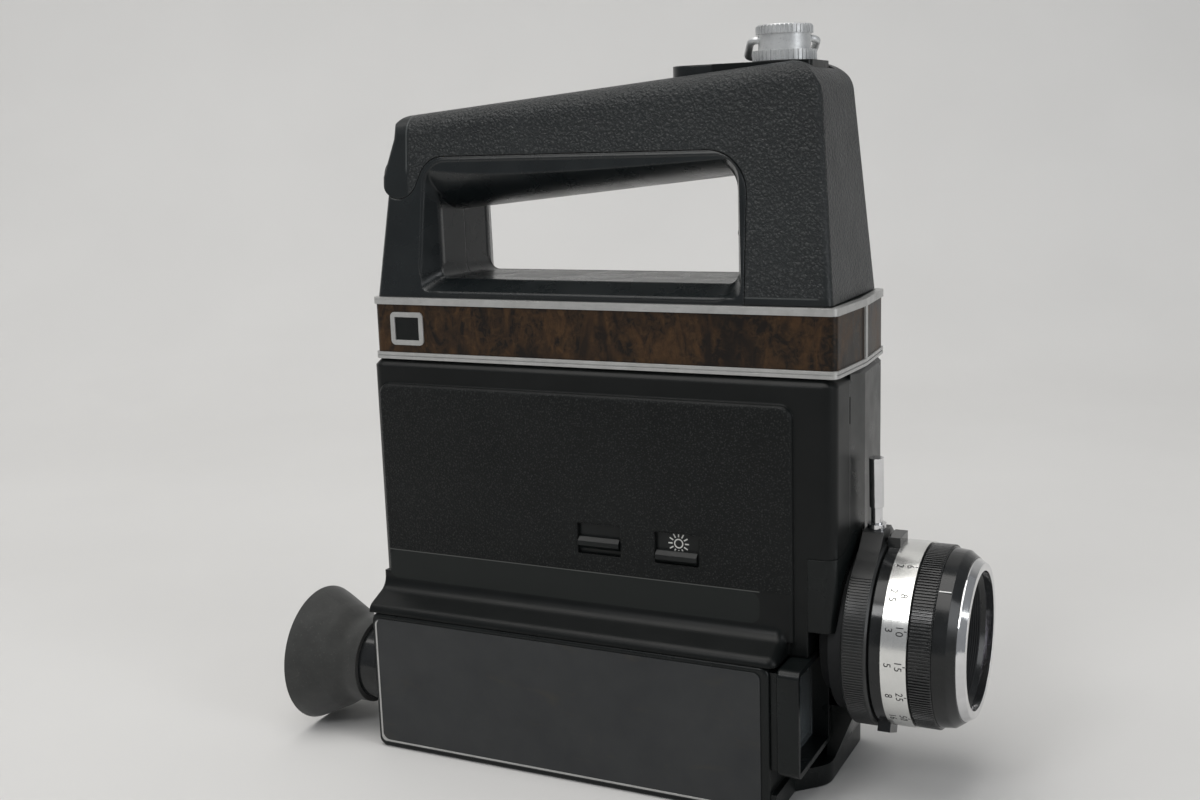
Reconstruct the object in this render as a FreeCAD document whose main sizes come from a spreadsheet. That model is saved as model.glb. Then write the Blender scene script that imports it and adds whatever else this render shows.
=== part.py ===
"""Loop-handled sound movie camera, standing on its finder housing with the handle up.

Millimetres. +X points out of the lens, +Z up, and the side with the two small
switches faces -Y. In the sheet's sizes X starts at the rear end of the wood band,
Y at the lens axis and Z at the surface the camera stands on. The finished model
is moved so that its origin is the bottom centre of its box.
"""
import FreeCAD, Part
import math
import os
import re
import Sketcher
from FreeCAD import Placement, Rotation, Vector

SIZES = {
    # Band between body and handle, and its metal trims
    "band_len": 154.0,
    "band_half": 25.15,
    "bow": 1.5,
    "band_low": 131.5,
    "band_tall": 15.5,
    "band_wall": 1.6,
    "trim_tall": 2.2,
    "trim_proud": 0.5,
    "deck_wall": 2.4,
    "divider_wide": 2.2,
    "chin_deep": 6.0,
    "chin_tall": 15.0,
    "badge_x": 6.4,
    "badge_wide": 12.2,
    "badge_tall": 10.6,
    "badge_rim": 1.6,
    # Body shells
    "shell_out": 1.25,
    "shell_back": 1.5,
    "shell_wall": 2.2,
    "split_y": 13.0,
    "edge_bevel": 2.2,
    "corner_round": 4.0,
    "panel_proud": 1.6,
    "panel_x": 1.4,
    "panel_front": 12.0,
    "panel_drop": 7.8,
    "panel_round": 4.0,
    "shoulder_tall": 6.4,
    "shoulder_lip": 2.0,
    "shoulder_cove": 5.0,
    "shoulder_round": 3.0,
    "shoulder_end": 3.0,
    "keeper_thick": 1.0,
    "slide_lap": 0.8,
    # Finder housing, with the eyepiece at its rear
    "finder_out": 12.0,
    "finder_inner": 6.0,
    "finder_top": 46.6,
    "hood_seat": 2.1,
    "finder_wall": 2.2,
    "base_tall": 7.0,
    "base_round": 9.0,
    "case_corner": 3.0,
    "case_edge": 1.2,
    "base_near": 19.6,
    "plate_thick": 0.8,
    "plate_edge": 1.8,
    "plate_round": 2.2,
    "plate_front": 2.6,
    "outline_wide": 0.6,
    "outline_edge": 0.4,
    "outline_proud": 0.12,
    "hood_back": 13.9,
    "hood_len": 6.8,
    "hood_low": 13.3,
    "hood_drop": 0.3,
    "hood_rim": 1.7,
    "hood_round": 2.5,
    "hood_step": 1.5,
    "hood_inner": 7.0,
    "eye_shift": 0.5,
    "eye_z": 23.2,
    "eye_tube_r": 12.8,
    "eye_tube_back": 11.6,
    "eye_bore_r": 9.6,
    "eyecup_back": 31.4,
    "eyecup_r": 22.9,
    "eyecup_wall": 1.5,
    # Lens, turned about an axis along X
    "lens_z": 48.7,
    "plate_deep": 8.0,
    "plate_rise": 8.0,
    "plate_over": 27.8,
    "front_plate_arc": 33.0,
    "front_wall": 2.6,
    "mount_r": 25.0,
    "barrel_r": 20.0,
    "barrel_bore_r": 17.0,
    "zoom_gap": 0.4,
    "zoom_wide": 7.6,
    "zoom_r": 28.6,
    "collar_wide": 4.4,
    "collar_r": 27.4,
    "lug_r": 30.2,
    "scale_wide": 6.8,
    "scale_r": 27.8,
    "scale_seat_r": 24.0,
    "focus_wide": 6.6,
    "focus_r": 27.4,
    "focus_ribs": 64,
    "nose_wide": 6.3,
    "nose_r": 26.6,
    "rim_wide": 2.4,
    "rim_r": 24.0,
    "rim_bore_r": 20.6,
    "front_glass_r": 15.5,
    "boss_top": 32.0,
    "boss_half": 4.0,
    "lever_top": 53.8,
    "lever_r": 2.15,
    "lever_lean": 3.0,
    # Loop handle
    "grip_in": 1.35,
    "grip_half_top": 17.0,
    "grip_back_low": 0.2,
    "grip_back_top": 8.6,
    "grip_set": 1.6,
    "grip_lean": 7.2,
    "grip_tall": 69.0,
    "grip_slope": 0.086,
    "grip_wall": 2.0,
    "top_round": 7.0,
    "nose_round": 10.5,
    "tail_round": 5.0,
    "side_round": 2.4,
    "seam_rise": 3.2,
    "pier_deep": 25.9,
    "seam_gap": 0.25,
    "seam_round": 12.5,
    "heel_round": 9.0,
    "heel_lean": 6.0,
    "knuckle_half": 12.0,
    "pin_out": 17.0,
    "bulge_tall": 11.8,
    "heel_tall": 12.8,
    "lobe_x": 9.0,
    "lobe_r": 6.8,
    "window_back": 20.6,
    "frame_edge": 4.1,
    "window_sill": 5.4,
    "beam_deep": 28.2,
    "window_round": 3.4,
    "window_top_round": 8.0,
    "flare_angle": 24.0,
    "belly_drop": 14.4,
    "belly_rise": 10.5,
    "belly_r": 21.0,
    "belly_front_r": 41.0,
    "hinge_pin_r": 1.5,
    # Tripod post, strap adapter and bail
    "post_gap": 2.5,
    "post_wide": 11.0,
    "post_half": 10.5,
    "head_back": 16.4,
    "head_len": 29.6,
    "head_half": 9.5,
    "head_gap": 1.2,
    "head_tall": 7.4,
    "head_sink": 0.6,
    "socket_r": 3.175,
    "adapter_set": 18.8,
    "adapter_r": 8.05,
    "adapter_bevel": 0.5,
    "flange_r": 9.3,
    "flange_tall": 3.0,
    "adapter_tall": 10.2,
    "knurl_tall": 2.6,
    "knurl_ribs": 40,
    "bail_r": 1.1,
    "bail_reach": 12.6,
    "bail_out": 9.65,
    "bail_rise": 0.8,
    "bail_droop": 20.0,
    "bail_skew": 0.43,
    # Small controls
    "latch_len": 15.2,
    "latch_travel": 3.0,
    "latch_skirt": 0.6,
    "trigger_tall": 18.0,
    "trigger_half": 5.0,
    "trigger_proud": 4.4,
    "trigger_travel": 3.0,
    "trigger_rise": 20.4,
    "switch_deep": 1.5,
    "check_back": 69.4,
    "check_wide": 14.6,
    "check_low": 71.4,
    "check_tall": 9.7,
    "check_park": 3.6,
    "check_travel": 2.6,
    "filter_back": 43.4,
    "filter_wide": 14.2,
    "filter_low": 71.0,
    "filter_tall": 9.7,
    "filter_park": 2.2,
    "filter_travel": 4.8,
    "catch_travel": 2.4,
    # Film door on the far side
    "door_x": 9.0,
    "door_front": 12.0,
    "door_low": 13.0,
    "door_drop": 5.3,
    "door_thick": 1.7,
    "door_gap": 0.3,
    "door_lap": 4.0,
    "door_reach": 16.0,
    "door_pin_r": 0.6,
    "door_barrel_r": 1.2,
    # Film drive
    "chassis_gap": 1.1,
    "chassis_thick": 1.6,
    "gate_back": 35.0,
    "shaft_y": 2.0,
    "shaft_rise": 17.3,
    "shutter_r": 20.2,
    "tooth_module": 0.8,
    "pinion_teeth": 12,
    "gear_teeth": 34,
    "motor_r": 7.8,
    "motor_gap": 1.7,
    "motor_len": 31.0,
    "wheel_teeth": 24,
    "worm_r": 2.2,
    "spindle_back": 41.0,
    "capstan_back": 16.0,
    "capstan_drop": 28.3,
    "gear_gap": 2.2,
    "board_off": 4.8,
    "cell_x": 22.8,
    "cell_drop": 22.2,
    "trough_x": 22.0,
    "trough_half": 15.0,
    "cell_gap": 0.15,
    "cell_r": 7.25,
    "cell_split": 0.2,
    "cell_room": 5.0,
    # Clearances
    "slide_gap": 0.2,
    "run_gap": 0.05,
}

DERIVED = {
    "grip_low": "band_low + band_tall + trim_tall",
    "deck_low": "band_low - trim_tall",
    "back_x": "-shell_back",
    "front_x": "band_len + bow",
    "shell_half": "band_half + shell_out",
    "grip_half_low": "band_half - grip_in",
    "finder_near": "shell_half + finder_out",
    "front_plate_x": "band_len - plate_deep",
    "panel_end": "band_len - panel_front",
    "door_end": "band_len - door_front",
    "base_front": "band_len - chin_deep",
    "hood_x": "band_len - hood_back",
    "finder_len": "hood_x - hood_seat",
    "grip_front_low": "band_len - grip_set",
    "grip_front_top": "band_len - grip_lean",
    "seam_x": "grip_front_low - pier_deep",
    "window_front": "seam_x - frame_edge",
    "post_x": "seam_x + post_gap",
    "head_x": "post_x - head_back",
    "adapter_x": "head_x + adapter_set",
    "zoom_x": "front_x + zoom_gap",
    "grip_top": "grip_low + grip_tall",
    "window_low": "grip_low + window_sill",
    "window_top": "grip_top - beam_deep",
    "seam_z": "window_top + seam_rise",
    "step_z": "seam_z - heel_tall",
    "lobe_z": "step_z + lobe_r",
    "belly_low": "window_top - belly_drop",
    "head_top": "grip_top - head_sink",
    "head_low": "head_top - head_tall",
    "latch_low": "head_low - latch_skirt",
    "cell_z": "grip_top - cell_drop",
    "trough_low": "cell_z - cell_r - cell_gap",
    "cell_len": "(post_x - cell_room - cell_x - cell_split) / 2",
    "trigger_z": "window_low + trigger_rise",
    "shoulder_top": "finder_top + shoulder_tall",
    "front_plate_low": "finder_top + plate_rise",
    "hood_top": "finder_top - hood_drop",
    "front_plate_top": "lens_z + plate_over",
    "panel_top": "deck_low - panel_drop",
    "door_high": "deck_low - door_drop",
    "door_mid": "(door_low + door_high) / 2",
    "eye_y": "-(finder_near + finder_inner) / 2 - eye_shift",
    "check_x": "panel_end - check_back",
    "filter_x": "panel_end - filter_back",
    "check_rest": "check_low + check_park",
    "filter_rest": "filter_low + filter_park",
    "motor_y": "motor_r + motor_gap - (shell_half - shell_wall)",
    "chassis_y": "motor_y + motor_r + chassis_gap",
    "board_y": "chassis_y - board_off",
    "chassis_end": "front_plate_x - gate_back",
    "gear_x": "chassis_end + gear_gap",
    "spindle_x": "chassis_end - spindle_back",
    "capstan_x": "chassis_end - capstan_back",
    "capstan_z": "deck_low - capstan_drop",
    "shaft_z": "lens_z + shaft_rise",
    "heel_span": "sqrt(heel_tall ^ 2 + heel_lean ^ 2)",
    "heel_cos": "heel_tall / heel_span",
    "heel_sin": "heel_lean / heel_span",
    "bulge_z": "lobe_z + bulge_tall",
    "switch_y": "shell_half + panel_proud - switch_deep",
    "wall_in": "shell_half - shell_wall",
    "plate_near": "finder_near + plate_thick / 2 + outline_proud",
    "collar_x": "zoom_x + zoom_wide + slide_gap",
    "scale_x": "collar_x + collar_wide",
    "focus_x": "scale_x + scale_wide + slide_gap",
    "nose_x": "focus_x + focus_wide",
    "rim_x": "nose_x + nose_wide",
    "lens_front": "rim_x + rim_wide",
    "door_in": "shell_half + door_gap",
    "door_out": "door_in + door_thick",
    "door_axis_x": "door_x - door_barrel_r - door_gap",
    "door_axis_y": "door_in + door_barrel_r",
    "far_y": "max(door_axis_y + door_barrel_r; zoom_r)",
    "near_y": "max(plate_near; eyecup_r - eye_y)",
    "x_mid": "(lens_front - eyecup_back) / 2",
    "y_mid": "(far_y - near_y) / 2",
    "post_end": "post_x + post_wide",
    "adapter_low": "head_top + slide_gap",
    "bail_z": "adapter_low + flange_tall + (adapter_tall - flange_tall - knurl_tall) / 2 + bail_rise",
    "bail_cos": "sqrt(1 - bail_skew ^ 2)",
    "motor_dist": "tooth_module * (pinion_teeth + gear_teeth) / 2",
    "motor_z": "shaft_z + sqrt(motor_dist ^ 2 - (shaft_y - motor_y) ^ 2)",
    "mesh_turn": "atan2(motor_z - shaft_z; motor_y - shaft_y)",
    "wheel_r": "tooth_module * (wheel_teeth + 1.2) / 2",
    "spindle_z": "motor_z - worm_r - wheel_r - 0.1",
    "gate_x": "chassis_end",
    "latch_x": "head_x - slide_gap - latch_len",
    "chin_top": "base_tall + chin_tall",
}

doc = FreeCAD.newDocument("MovieCamera")
sheet = doc.addObject("Spreadsheet::Sheet", "Dims")
row = 0
for table, sign in ((SIZES, ""), (DERIVED, "=")):
    for alias, content in table.items():
        row += 1
        sheet.set(f"A{row}", alias)
        sheet.set(f"B{row}", sign + str(content))
        sheet.setAlias(f"B{row}", alias)
doc.recompute()

ALIASES = set(SIZES) | set(DERIVED)


def link(text):
    """The same expression as other objects of the document read it."""
    return re.sub(r"[a-z]\w*", lambda word: "Dims." + word.group() if word.group() in ALIASES else word.group(), text)


def value(text):
    return float(sheet.evalExpression(text))


def place(item, x="0", y="0", z="0"):
    """Put an object's own origin at sheet coordinates x, y, z."""
    item.setExpression("Placement.Base.x", link(f"{x} - x_mid"))
    item.setExpression("Placement.Base.y", link(f"{y} - y_mid"))
    item.setExpression("Placement.Base.z", link(z))
    return item


# Sketched bodies


def outline(body, name, role, points, offset):
    """A closed polygon on one of the body's own planes, each corner pinned by two dimensions."""
    sketch = body.newObject("Sketcher::SketchObject", name)
    plane = next(item for item in body.Origin.OriginFeatures if item.Role == role + "_Plane")
    sketch.AttachmentSupport = (plane, "")
    sketch.MapMode = "FlatFace"
    sketch.setExpression("AttachmentOffset.Base.z", link(offset))
    spots = [Vector(value(u), value(v), 0) for u, v in points]
    count = len(spots)
    for index in range(count):
        sketch.addGeometry(Part.LineSegment(spots[index], spots[(index + 1) % count]), False)
    for index in range(count):
        sketch.addConstraint(Sketcher.Constraint("Coincident", index, 2, (index + 1) % count, 1))
    for index, (u, v) in enumerate(points):
        for kind, text in (("DistanceX", u), ("DistanceY", v)):
            constraint = Sketcher.Constraint(kind, -1, 1, index, 1, value(text))
            number = sketch.addConstraint(constraint)
            sketch.setExpression(f"Constraints[{number}]", link(text))
    return sketch


def prism(name, role, points, low, high):
    """A padded polygon that runs from low to high along the plane's own axis."""
    body = doc.addObject("PartDesign::Body", name)
    offset = f"-({high})" if role == "XZ" else low
    sketch = outline(body, name + "_sketch", role, points, offset)
    pad = body.newObject("PartDesign::Pad", name + "_pad")
    pad.Profile = sketch
    pad.setExpression("Length", link(f"({high}) - ({low})"))
    doc.recompute()
    return place(body)


def round_edges(body, test, radius, kind="Fillet"):
    """Round or bevel the edges of the body's tip that pass the test."""
    base = body.Tip
    names = [f"Edge{number}" for number, edge in enumerate(base.Shape.Edges, 1) if test(edge)]
    feature = body.newObject("PartDesign::" + kind, f"{body.Name}_{kind}{len(body.Group)}")
    feature.Base = (base, names)
    feature.setExpression("Radius" if kind == "Fillet" else "Size", link(radius))
    doc.recompute()
    return body


def near(first, second, slack=0.01):
    return abs(first - second) < slack


def along(axis):
    """A test for edges parallel to an axis; local coordinates of the body."""
    spans = {"x": ("YLength", "ZLength"), "y": ("XLength", "ZLength"), "z": ("XLength", "YLength")}[axis]
    return lambda edge: all(getattr(edge.BoundBox, span) < 0.01 for span in spans)


def turned(name, points, y="0", z="lens_z"):
    """A ring or disc turned about an axis along X; points are (x, radius)."""
    body = doc.addObject("PartDesign::Body", name)
    sketch = outline(body, name + "_sketch", "XZ", points, "0")
    spin = body.newObject("PartDesign::Revolution", name + "_turn")
    spin.Profile = sketch
    spin.ReferenceAxis = (sketch, ["H_Axis"])
    spin.Angle = 360
    doc.recompute()
    return place(body, "0", y, z)


# Plain solids and their combinations


def box(name, x, y, z):
    """A block between two sheet values on each axis."""
    block = doc.addObject("Part::Box", name)
    for side, (low, high) in (("Length", x), ("Width", y), ("Height", z)):
        block.setExpression(side, link(f"({high}) - ({low})"))
    return place(block, x[0], y[0], z[0])


def rod(name, axis, radius, start, length):
    """A cylinder that starts at a sheet point and runs along an axis."""
    tube = doc.addObject("Part::Cylinder", name)
    tube.setExpression("Radius", link(radius))
    tube.setExpression("Height", link(length))
    turns = {"x": (Vector(0, 1, 0), 90), "y": (Vector(1, 0, 0), -90), "z": (Vector(0, 0, 1), 0)}
    tube.Placement = Placement(Vector(), Rotation(*turns[axis]))
    return place(tube, *start)


def union(name, items):
    whole = doc.addObject("Part::MultiFuse", name)
    whole.Shapes = items
    return whole


def shared(name, items):
    whole = doc.addObject("Part::MultiCommon", name)
    whole.Shapes = items
    return whole


def less(name, base, tools):
    """The base with one or more tools taken away."""
    rest = doc.addObject("Part::Cut", name)
    rest.Base = base
    rest.Tool = tools[0] if len(tools) == 1 else union(name + "_tools", tools)
    return rest


NODES = []


def node(item, name):
    """Name an object as one piece of the camera."""
    item.Label = name
    NODES.append(item)
    return item


def plan(out):
    """Plan outline of the band, grown by out, with its slightly peaked front."""
    return [
        (f"-({out})", f"-(band_half + {out})"),
        (f"band_len + {out}", f"-(band_half + {out})"),
        (f"front_x + {out}", "0"),
        (f"band_len + {out}", f"band_half + {out}"),
        (f"-({out})", f"band_half + {out}"),
    ]


def ring(name, out, low, high):
    """A band around the camera with its outer face grown by out."""
    outer = round_edges(prism(name + "_outer", "XY", plan(out), low, high), upright_corner, "side_round")
    inner = prism(name + "_inner", "XY", plan("-band_wall"), f"{low} - 1", f"{high} + 1")
    return less(name, outer, [inner])


def upright_corner(edge):
    """The four square corners of a plan outline, not the peak of its front."""
    return along("z")(edge) and not near(edge.BoundBox.YMin, 0, 0.5)


# Wood band, trims and middle frame


def make_band():
    frame_out = prism("middle_outer", "XY", plan("-band_wall"), "deck_low", "grip_low")
    frame_in = prism("middle_inner", "XY", plan("-band_wall - deck_wall"), "deck_low - 1", "grip_low - deck_wall")
    node(less("middle_frame_cut", frame_out, [frame_in]), "middle_frame")
    top = "band_low + band_tall"
    divider = box(
        "divider_box",
        ("front_x - band_wall / 2", "front_x + trim_proud"),
        ("-divider_wide / 2", "divider_wide / 2"),
        ("band_low", top),
    )
    badge_z = "band_low + band_tall / 2"
    badge = prism(
        "badge_outer", "XZ",
        [("badge_x", f"{badge_z} - badge_tall / 2"), ("badge_x + badge_wide", f"{badge_z} - badge_tall / 2"),
         ("badge_x + badge_wide", f"{badge_z} + badge_tall / 2"), ("badge_x", f"{badge_z} + badge_tall / 2")],
        "-(band_half + trim_proud)", "-(band_half - band_wall / 2)",
    )
    round_edges(badge, along("y"), "badge_rim")
    insert = box(
        "badge_inner",
        ("badge_x + badge_rim", "badge_x + badge_wide - badge_rim"),
        ("-band_half", "-(band_half - band_wall / 2)"),
        (f"{badge_z} - badge_tall / 2 + badge_rim", f"{badge_z} + badge_tall / 2 - badge_rim"),
    )
    opening = box(
        "badge_opening",
        ("badge_x + badge_rim", "badge_x + badge_wide - badge_rim"),
        ("-(band_half + 2)", "-(band_half - band_wall)"),
        (f"{badge_z} - badge_tall / 2 + badge_rim", f"{badge_z} + badge_tall / 2 - badge_rim"),
    )
    node(less("wood_cut", ring("wood", "0", "band_low", top), [divider, badge]), "wood_band")
    node(less("badge_cut", badge, [opening]), "badge_frame")
    node(insert, "badge_insert")
    node(divider, "front_divider")
    node(ring("upper", "trim_proud", top, "grip_low"), "upper_trim")
    lower = ring("lower", "trim_proud", "deck_low", "band_low")
    groove_low = "deck_low + trim_tall / 2 - 0.2"
    groove_out = prism("groove_outer", "XY", plan("trim_proud + 1"), groove_low, f"{groove_low} + 0.4")
    groove_in = prism("groove_inner", "XY", plan("trim_proud - 0.35"), groove_low, f"{groove_low} + 0.4")
    node(less("lower_cut", lower, [less("groove", groove_out, [groove_in])]), "lower_trim")


# Body shells


def shell_plan(low_y, high_y):
    """Plan outline of the body between two distances from the lens axis."""
    slope = "bow / band_half"
    return [
        ("back_x", low_y),
        (f"front_x - {slope} * abs({low_y})", low_y),
        *([("front_x", "0")] if value(low_y) < 0 < value(high_y) else []),
        (f"front_x - {slope} * abs({high_y})", high_y),
        ("back_x", high_y),
    ]


def front_zone():
    """The region of the lens board: a strip on the switch side, an arc over the lens and the front below it."""
    low = "front_plate_low"
    side = "shell_half + 2"
    flat = prism(
        "front_zone_flat", "YZ",
        [(f"-({side})", low), ("-finder_inner", low), ("-finder_inner", "chin_top"), (side, "chin_top"),
         (side, "front_plate_top"), (f"-({side})", "front_plate_top")],
        "front_plate_x", "front_x + 5",
    )
    arch = rod("front_zone_arch", "x", "front_plate_arc", ("front_plate_x", "0", "lens_z"), "front_x + 5 - front_plate_x")
    upper = box(
        "front_zone_upper",
        ("front_plate_x - 1", "front_x + 6"), (f"-({side})", side), ("front_plate_top - 5", "lens_z + front_plate_arc + 1"),
    )
    return union("front_zone", [flat, shared("front_zone_top", [arch, upper])])


def round_body_corners(body):
    """Round the four vertical corners of a body plan, not the peak of its front."""
    return round_edges(body, lambda e: along("z")(e) and not near(e.BoundBox.YMin, 0, 0.5), "corner_round")


def make_left_shell(zone):
    """The cover on the switch side: bevelled rim, raised panel and the shoulder over the finder."""
    skin = prism("left_skin", "XY", shell_plan("-shell_half", "-split_y"), "finder_top", "deck_low")
    round_edges(skin, lambda e: along("z")(e) and near(e.BoundBox.YMin, value("-shell_half")), "corner_round")
    round_edges(
        skin,
        lambda e: near(e.BoundBox.ZMin, value("deck_low")) and near(e.BoundBox.YMax, value("-shell_half"), 0.1),
        "edge_bevel", "Chamfer",
    )
    proud = "shell_half + panel_proud"
    panel = prism(
        "left_panel", "XZ",
        [("panel_x", "shoulder_top - 2"), ("panel_end", "shoulder_top - 2"),
         ("panel_end", "panel_top"), ("panel_x", "panel_top")],
        f"-({proud})", "-(shell_half - 1)",
    )
    round_edges(panel, lambda e: along("y")(e) and e.BoundBox.ZMin > value("panel_top") - 1, "panel_round")
    round_edges(
        panel,
        lambda e: near(e.BoundBox.YMax, value(f"-({proud})")) and e.BoundBox.ZMax > value("shoulder_top"),
        "panel_proud * 0.9",
    )
    crease = "finder_top + shoulder_tall"
    lip = "finder_top + shoulder_lip"
    shoulder = prism(
        "left_shoulder", "YZ",
        [("-split_y - 2", "finder_top"), ("-finder_near", "finder_top"), ("-finder_near", lip), (f"-({proud})", crease),
         (f"-({proud})", f"{crease} + shoulder_cove"), ("-split_y - 2", f"{crease} + shoulder_cove")],
        "0", "finder_len + 2",
    )
    round_edges(shoulder, lambda e: along("x")(e) and near(e.BoundBox.ZMin, value(crease)), "shoulder_cove")
    round_edges(shoulder, lambda e: along("x")(e) and near(e.BoundBox.ZMin, value(lip)), "shoulder_round")
    round_edges(
        shoulder,
        lambda e: near(e.BoundBox.XMin, value("finder_len + 2")) and e.BoundBox.YMax < value(f"-({proud}) + 0.1")
        and e.BoundBox.ZMax < value(f"{crease} + shoulder_cove - 0.1"),
        "shoulder_end",
    )
    wall = box(
        "left_front_wall", ("front_plate_x - shell_wall", "front_plate_x"), ("-(shell_half - 1)", "-split_y - seam_gap"),
        ("finder_top", "front_plate_low + shell_wall"),
    )
    hollow = box(
        "left_hollow",
        ("back_x + shell_wall", "front_plate_x"),
        ("-(shell_half - shell_wall)", "0"),
        ("finder_top - 1", "deck_low - shell_wall"),
    )
    nose = box(
        "left_nose_hollow",
        ("front_plate_x - 1", "band_len - front_wall"),
        ("-(shell_half - shell_wall)", "0"),
        ("lens_z + front_plate_arc + 1", "deck_low - shell_wall"),
    )
    open_front = box(
        "left_open_front",
        ("front_plate_x", "front_x + 5"), ("-(finder_near + 1)", "0"), ("finder_top - 1", "front_plate_low"),
    )
    mark = box(
        "seam_notch",
        ("band_len - 0.8", "front_x + 1"), ("-(split_y + 0.7)", "-(split_y - 0.7)"), ("deck_low - 15", "deck_low - 7"),
    )
    cuts = [hollow, nose, open_front, zone, mark]
    for part in ("check", "filter"):
        cuts.append(box(
            part + "_recess", (f"{part}_x", f"{part}_x + {part}_wide"),
            (f"-({proud} + 1)", "-switch_y"), (f"{part}_low", f"{part}_low + {part}_tall"),
        ))
        cuts.append(slide_way(part + "_way", part, "slide_gap"))
    body = less("left_shell_cut", union("left_solid", [skin, panel, shoulder]), cuts)
    node(union("left_shell_whole", [body, wall]), "left_shell")


def slide_way(name, part, gap):
    """The flat slide behind a thumb opening, or with a gap the way that it runs in."""
    beyond = f"slide_lap + {gap}" + (f" + {part}_travel" if gap != "0" else "")
    return box(
        name,
        (f"{part}_x - slide_lap - {gap}", f"{part}_x + {part}_wide + slide_lap + {gap}"),
        ("-switch_y", "-wall_in" if gap != "0" else "-wall_in - slide_gap"),
        (f"{part}_low - {part}_travel - slide_lap - {gap}", f"{part}_low + {part}_tall + {beyond}"),
    )


def make_switches():
    """The two flat slides with their ridged thumb pieces, and the plate that keeps them in their ways."""
    for part, label in (("check", "battery_check_slide"), ("filter", "filter_switch_slide")):
        thumb = prism(
            part + "_thumb", "YZ",
            [("-switch_y", f"{part}_rest - 1.9"), ("-switch_y", f"{part}_rest + 1.9"), ("-switch_y - 1.0", f"{part}_rest + 1.9"),
             ("-switch_y - 2.3", f"{part}_rest + 0.7"), ("-switch_y - 2.3", f"{part}_rest - 0.7"),
             ("-switch_y - 1.0", f"{part}_rest - 1.9")],
            f"{part}_x + 2 * slide_gap", f"{part}_x + {part}_wide - 2 * slide_gap",
        )
        node(union(part + "_slide", [thumb, slide_way(part + "_runner", part, "0")]), label)
    keeper = box(
        "keeper_plate", ("check_x - 4", "filter_x + filter_wide + 3"), ("-wall_in", "-wall_in + keeper_thick"),
        ("filter_low - filter_travel - 4", "filter_low + filter_tall + filter_travel + 4"),
    )
    node(keeper, "slide_keeper")


def make_front_plate(zone):
    skin = round_body_corners(
        prism("front_skin", "XY", shell_plan("-shell_half", "shell_half"), "chin_top", "lens_z + front_plate_arc + 2")
    )
    wall = ("front_plate_x - 1", "band_len - front_wall")
    inner = "shell_half - shell_wall"
    upper = box("front_hollow_upper", wall, (f"-({inner})", inner), ("front_plate_low + shell_wall", "front_plate_top"))
    lower = box("front_hollow_lower", wall, ("-finder_inner + shell_wall", inner),
                ("chin_top + shell_wall", "front_plate_low + shell_wall + 1"))
    seat = rod("front_seat", "x", "mount_r + slide_gap", ("front_plate_x - 1", "0", "lens_z"), "20")
    node(less("front_plate_cut", shared("front_block", [skin, zone]), [upper, lower, seat]), "front_plate")


def make_main_shell(zone):
    """The body on the film side, open towards the switch side, with the door opening in its outer wall."""
    skin = prism("main_skin", "XY", shell_plan("-split_y", "shell_half"), "base_tall", "deck_low")
    round_edges(skin, lambda e: along("z")(e) and near(e.BoundBox.YMin, value("shell_half")), "corner_round")
    round_edges(
        skin,
        lambda e: near(e.BoundBox.ZMin, value("deck_low")) and near(e.BoundBox.YMin, value("shell_half"), 0.1),
        "edge_bevel", "Chamfer",
    )
    wall = "shell_half - shell_wall"
    hollow = box(
        "main_hollow", ("back_x + shell_wall", "band_len - front_wall"),
        ("-split_y - 1", wall), ("chin_top + shell_wall", "deck_low - shell_wall"),
    )
    lower = box(
        "main_hollow_lower", ("back_x + shell_wall", "base_front - front_wall"),
        ("-finder_inner - 1", wall), ("base_tall - 1", "chin_top + shell_wall + 1"),
    )
    finder = box("main_finder_zone", ("back_x - 1", "front_x + 1"), ("-split_y - 1", "-finder_inner"),
                 ("base_tall - 1", "finder_top"))
    beside = box("main_beside_barrel", ("front_plate_x", "front_x + 1"), ("-split_y - 1", "-finder_inner"),
                 ("finder_top - 1", "front_plate_low"))
    chin = prism(
        "main_chin", "XZ",
        [("base_front", "base_tall"), ("base_front + 2 * chin_deep", "base_tall + 2 * chin_tall"),
         ("base_front + 2 * chin_deep", "base_tall - 1"), ("base_front", "base_tall - 1")],
        "-shell_half - 2", "shell_half + 2",
    )
    doorway = prism(
        "doorway", "XZ",
        [("door_x + door_lap", "door_low + door_lap"), ("door_end - door_lap", "door_low + door_lap"),
         ("door_end - door_lap", "door_high - door_lap"), ("door_x + door_lap", "door_high - door_lap")],
        f"{wall} - 1", "shell_half + 1",
    )
    round_edges(doorway, along("y"), "corner_round")
    body = less("main_shell_cut", skin, [hollow, lower, finder, beside, chin, zone, doorway])
    knuckle = rod("main_knuckle", "z", "door_barrel_r", ("door_axis_x", "door_axis_y", "door_mid - door_reach"), "2 * door_reach")
    web = box("main_web", ("door_axis_x - door_barrel_r", "door_axis_x + door_barrel_r * 0.6"),
              ("shell_half - 0.5", "door_axis_y"), ("door_mid - door_reach", "door_mid + door_reach"))
    bore = rod("main_knuckle_bore", "z", "door_pin_r", ("door_axis_x", "door_axis_y", "door_low"), "door_high - door_low")
    node(less("main_shell_whole", union("main_with_hinge", [body, knuckle, web]), [bore]), "main_shell")


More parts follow.
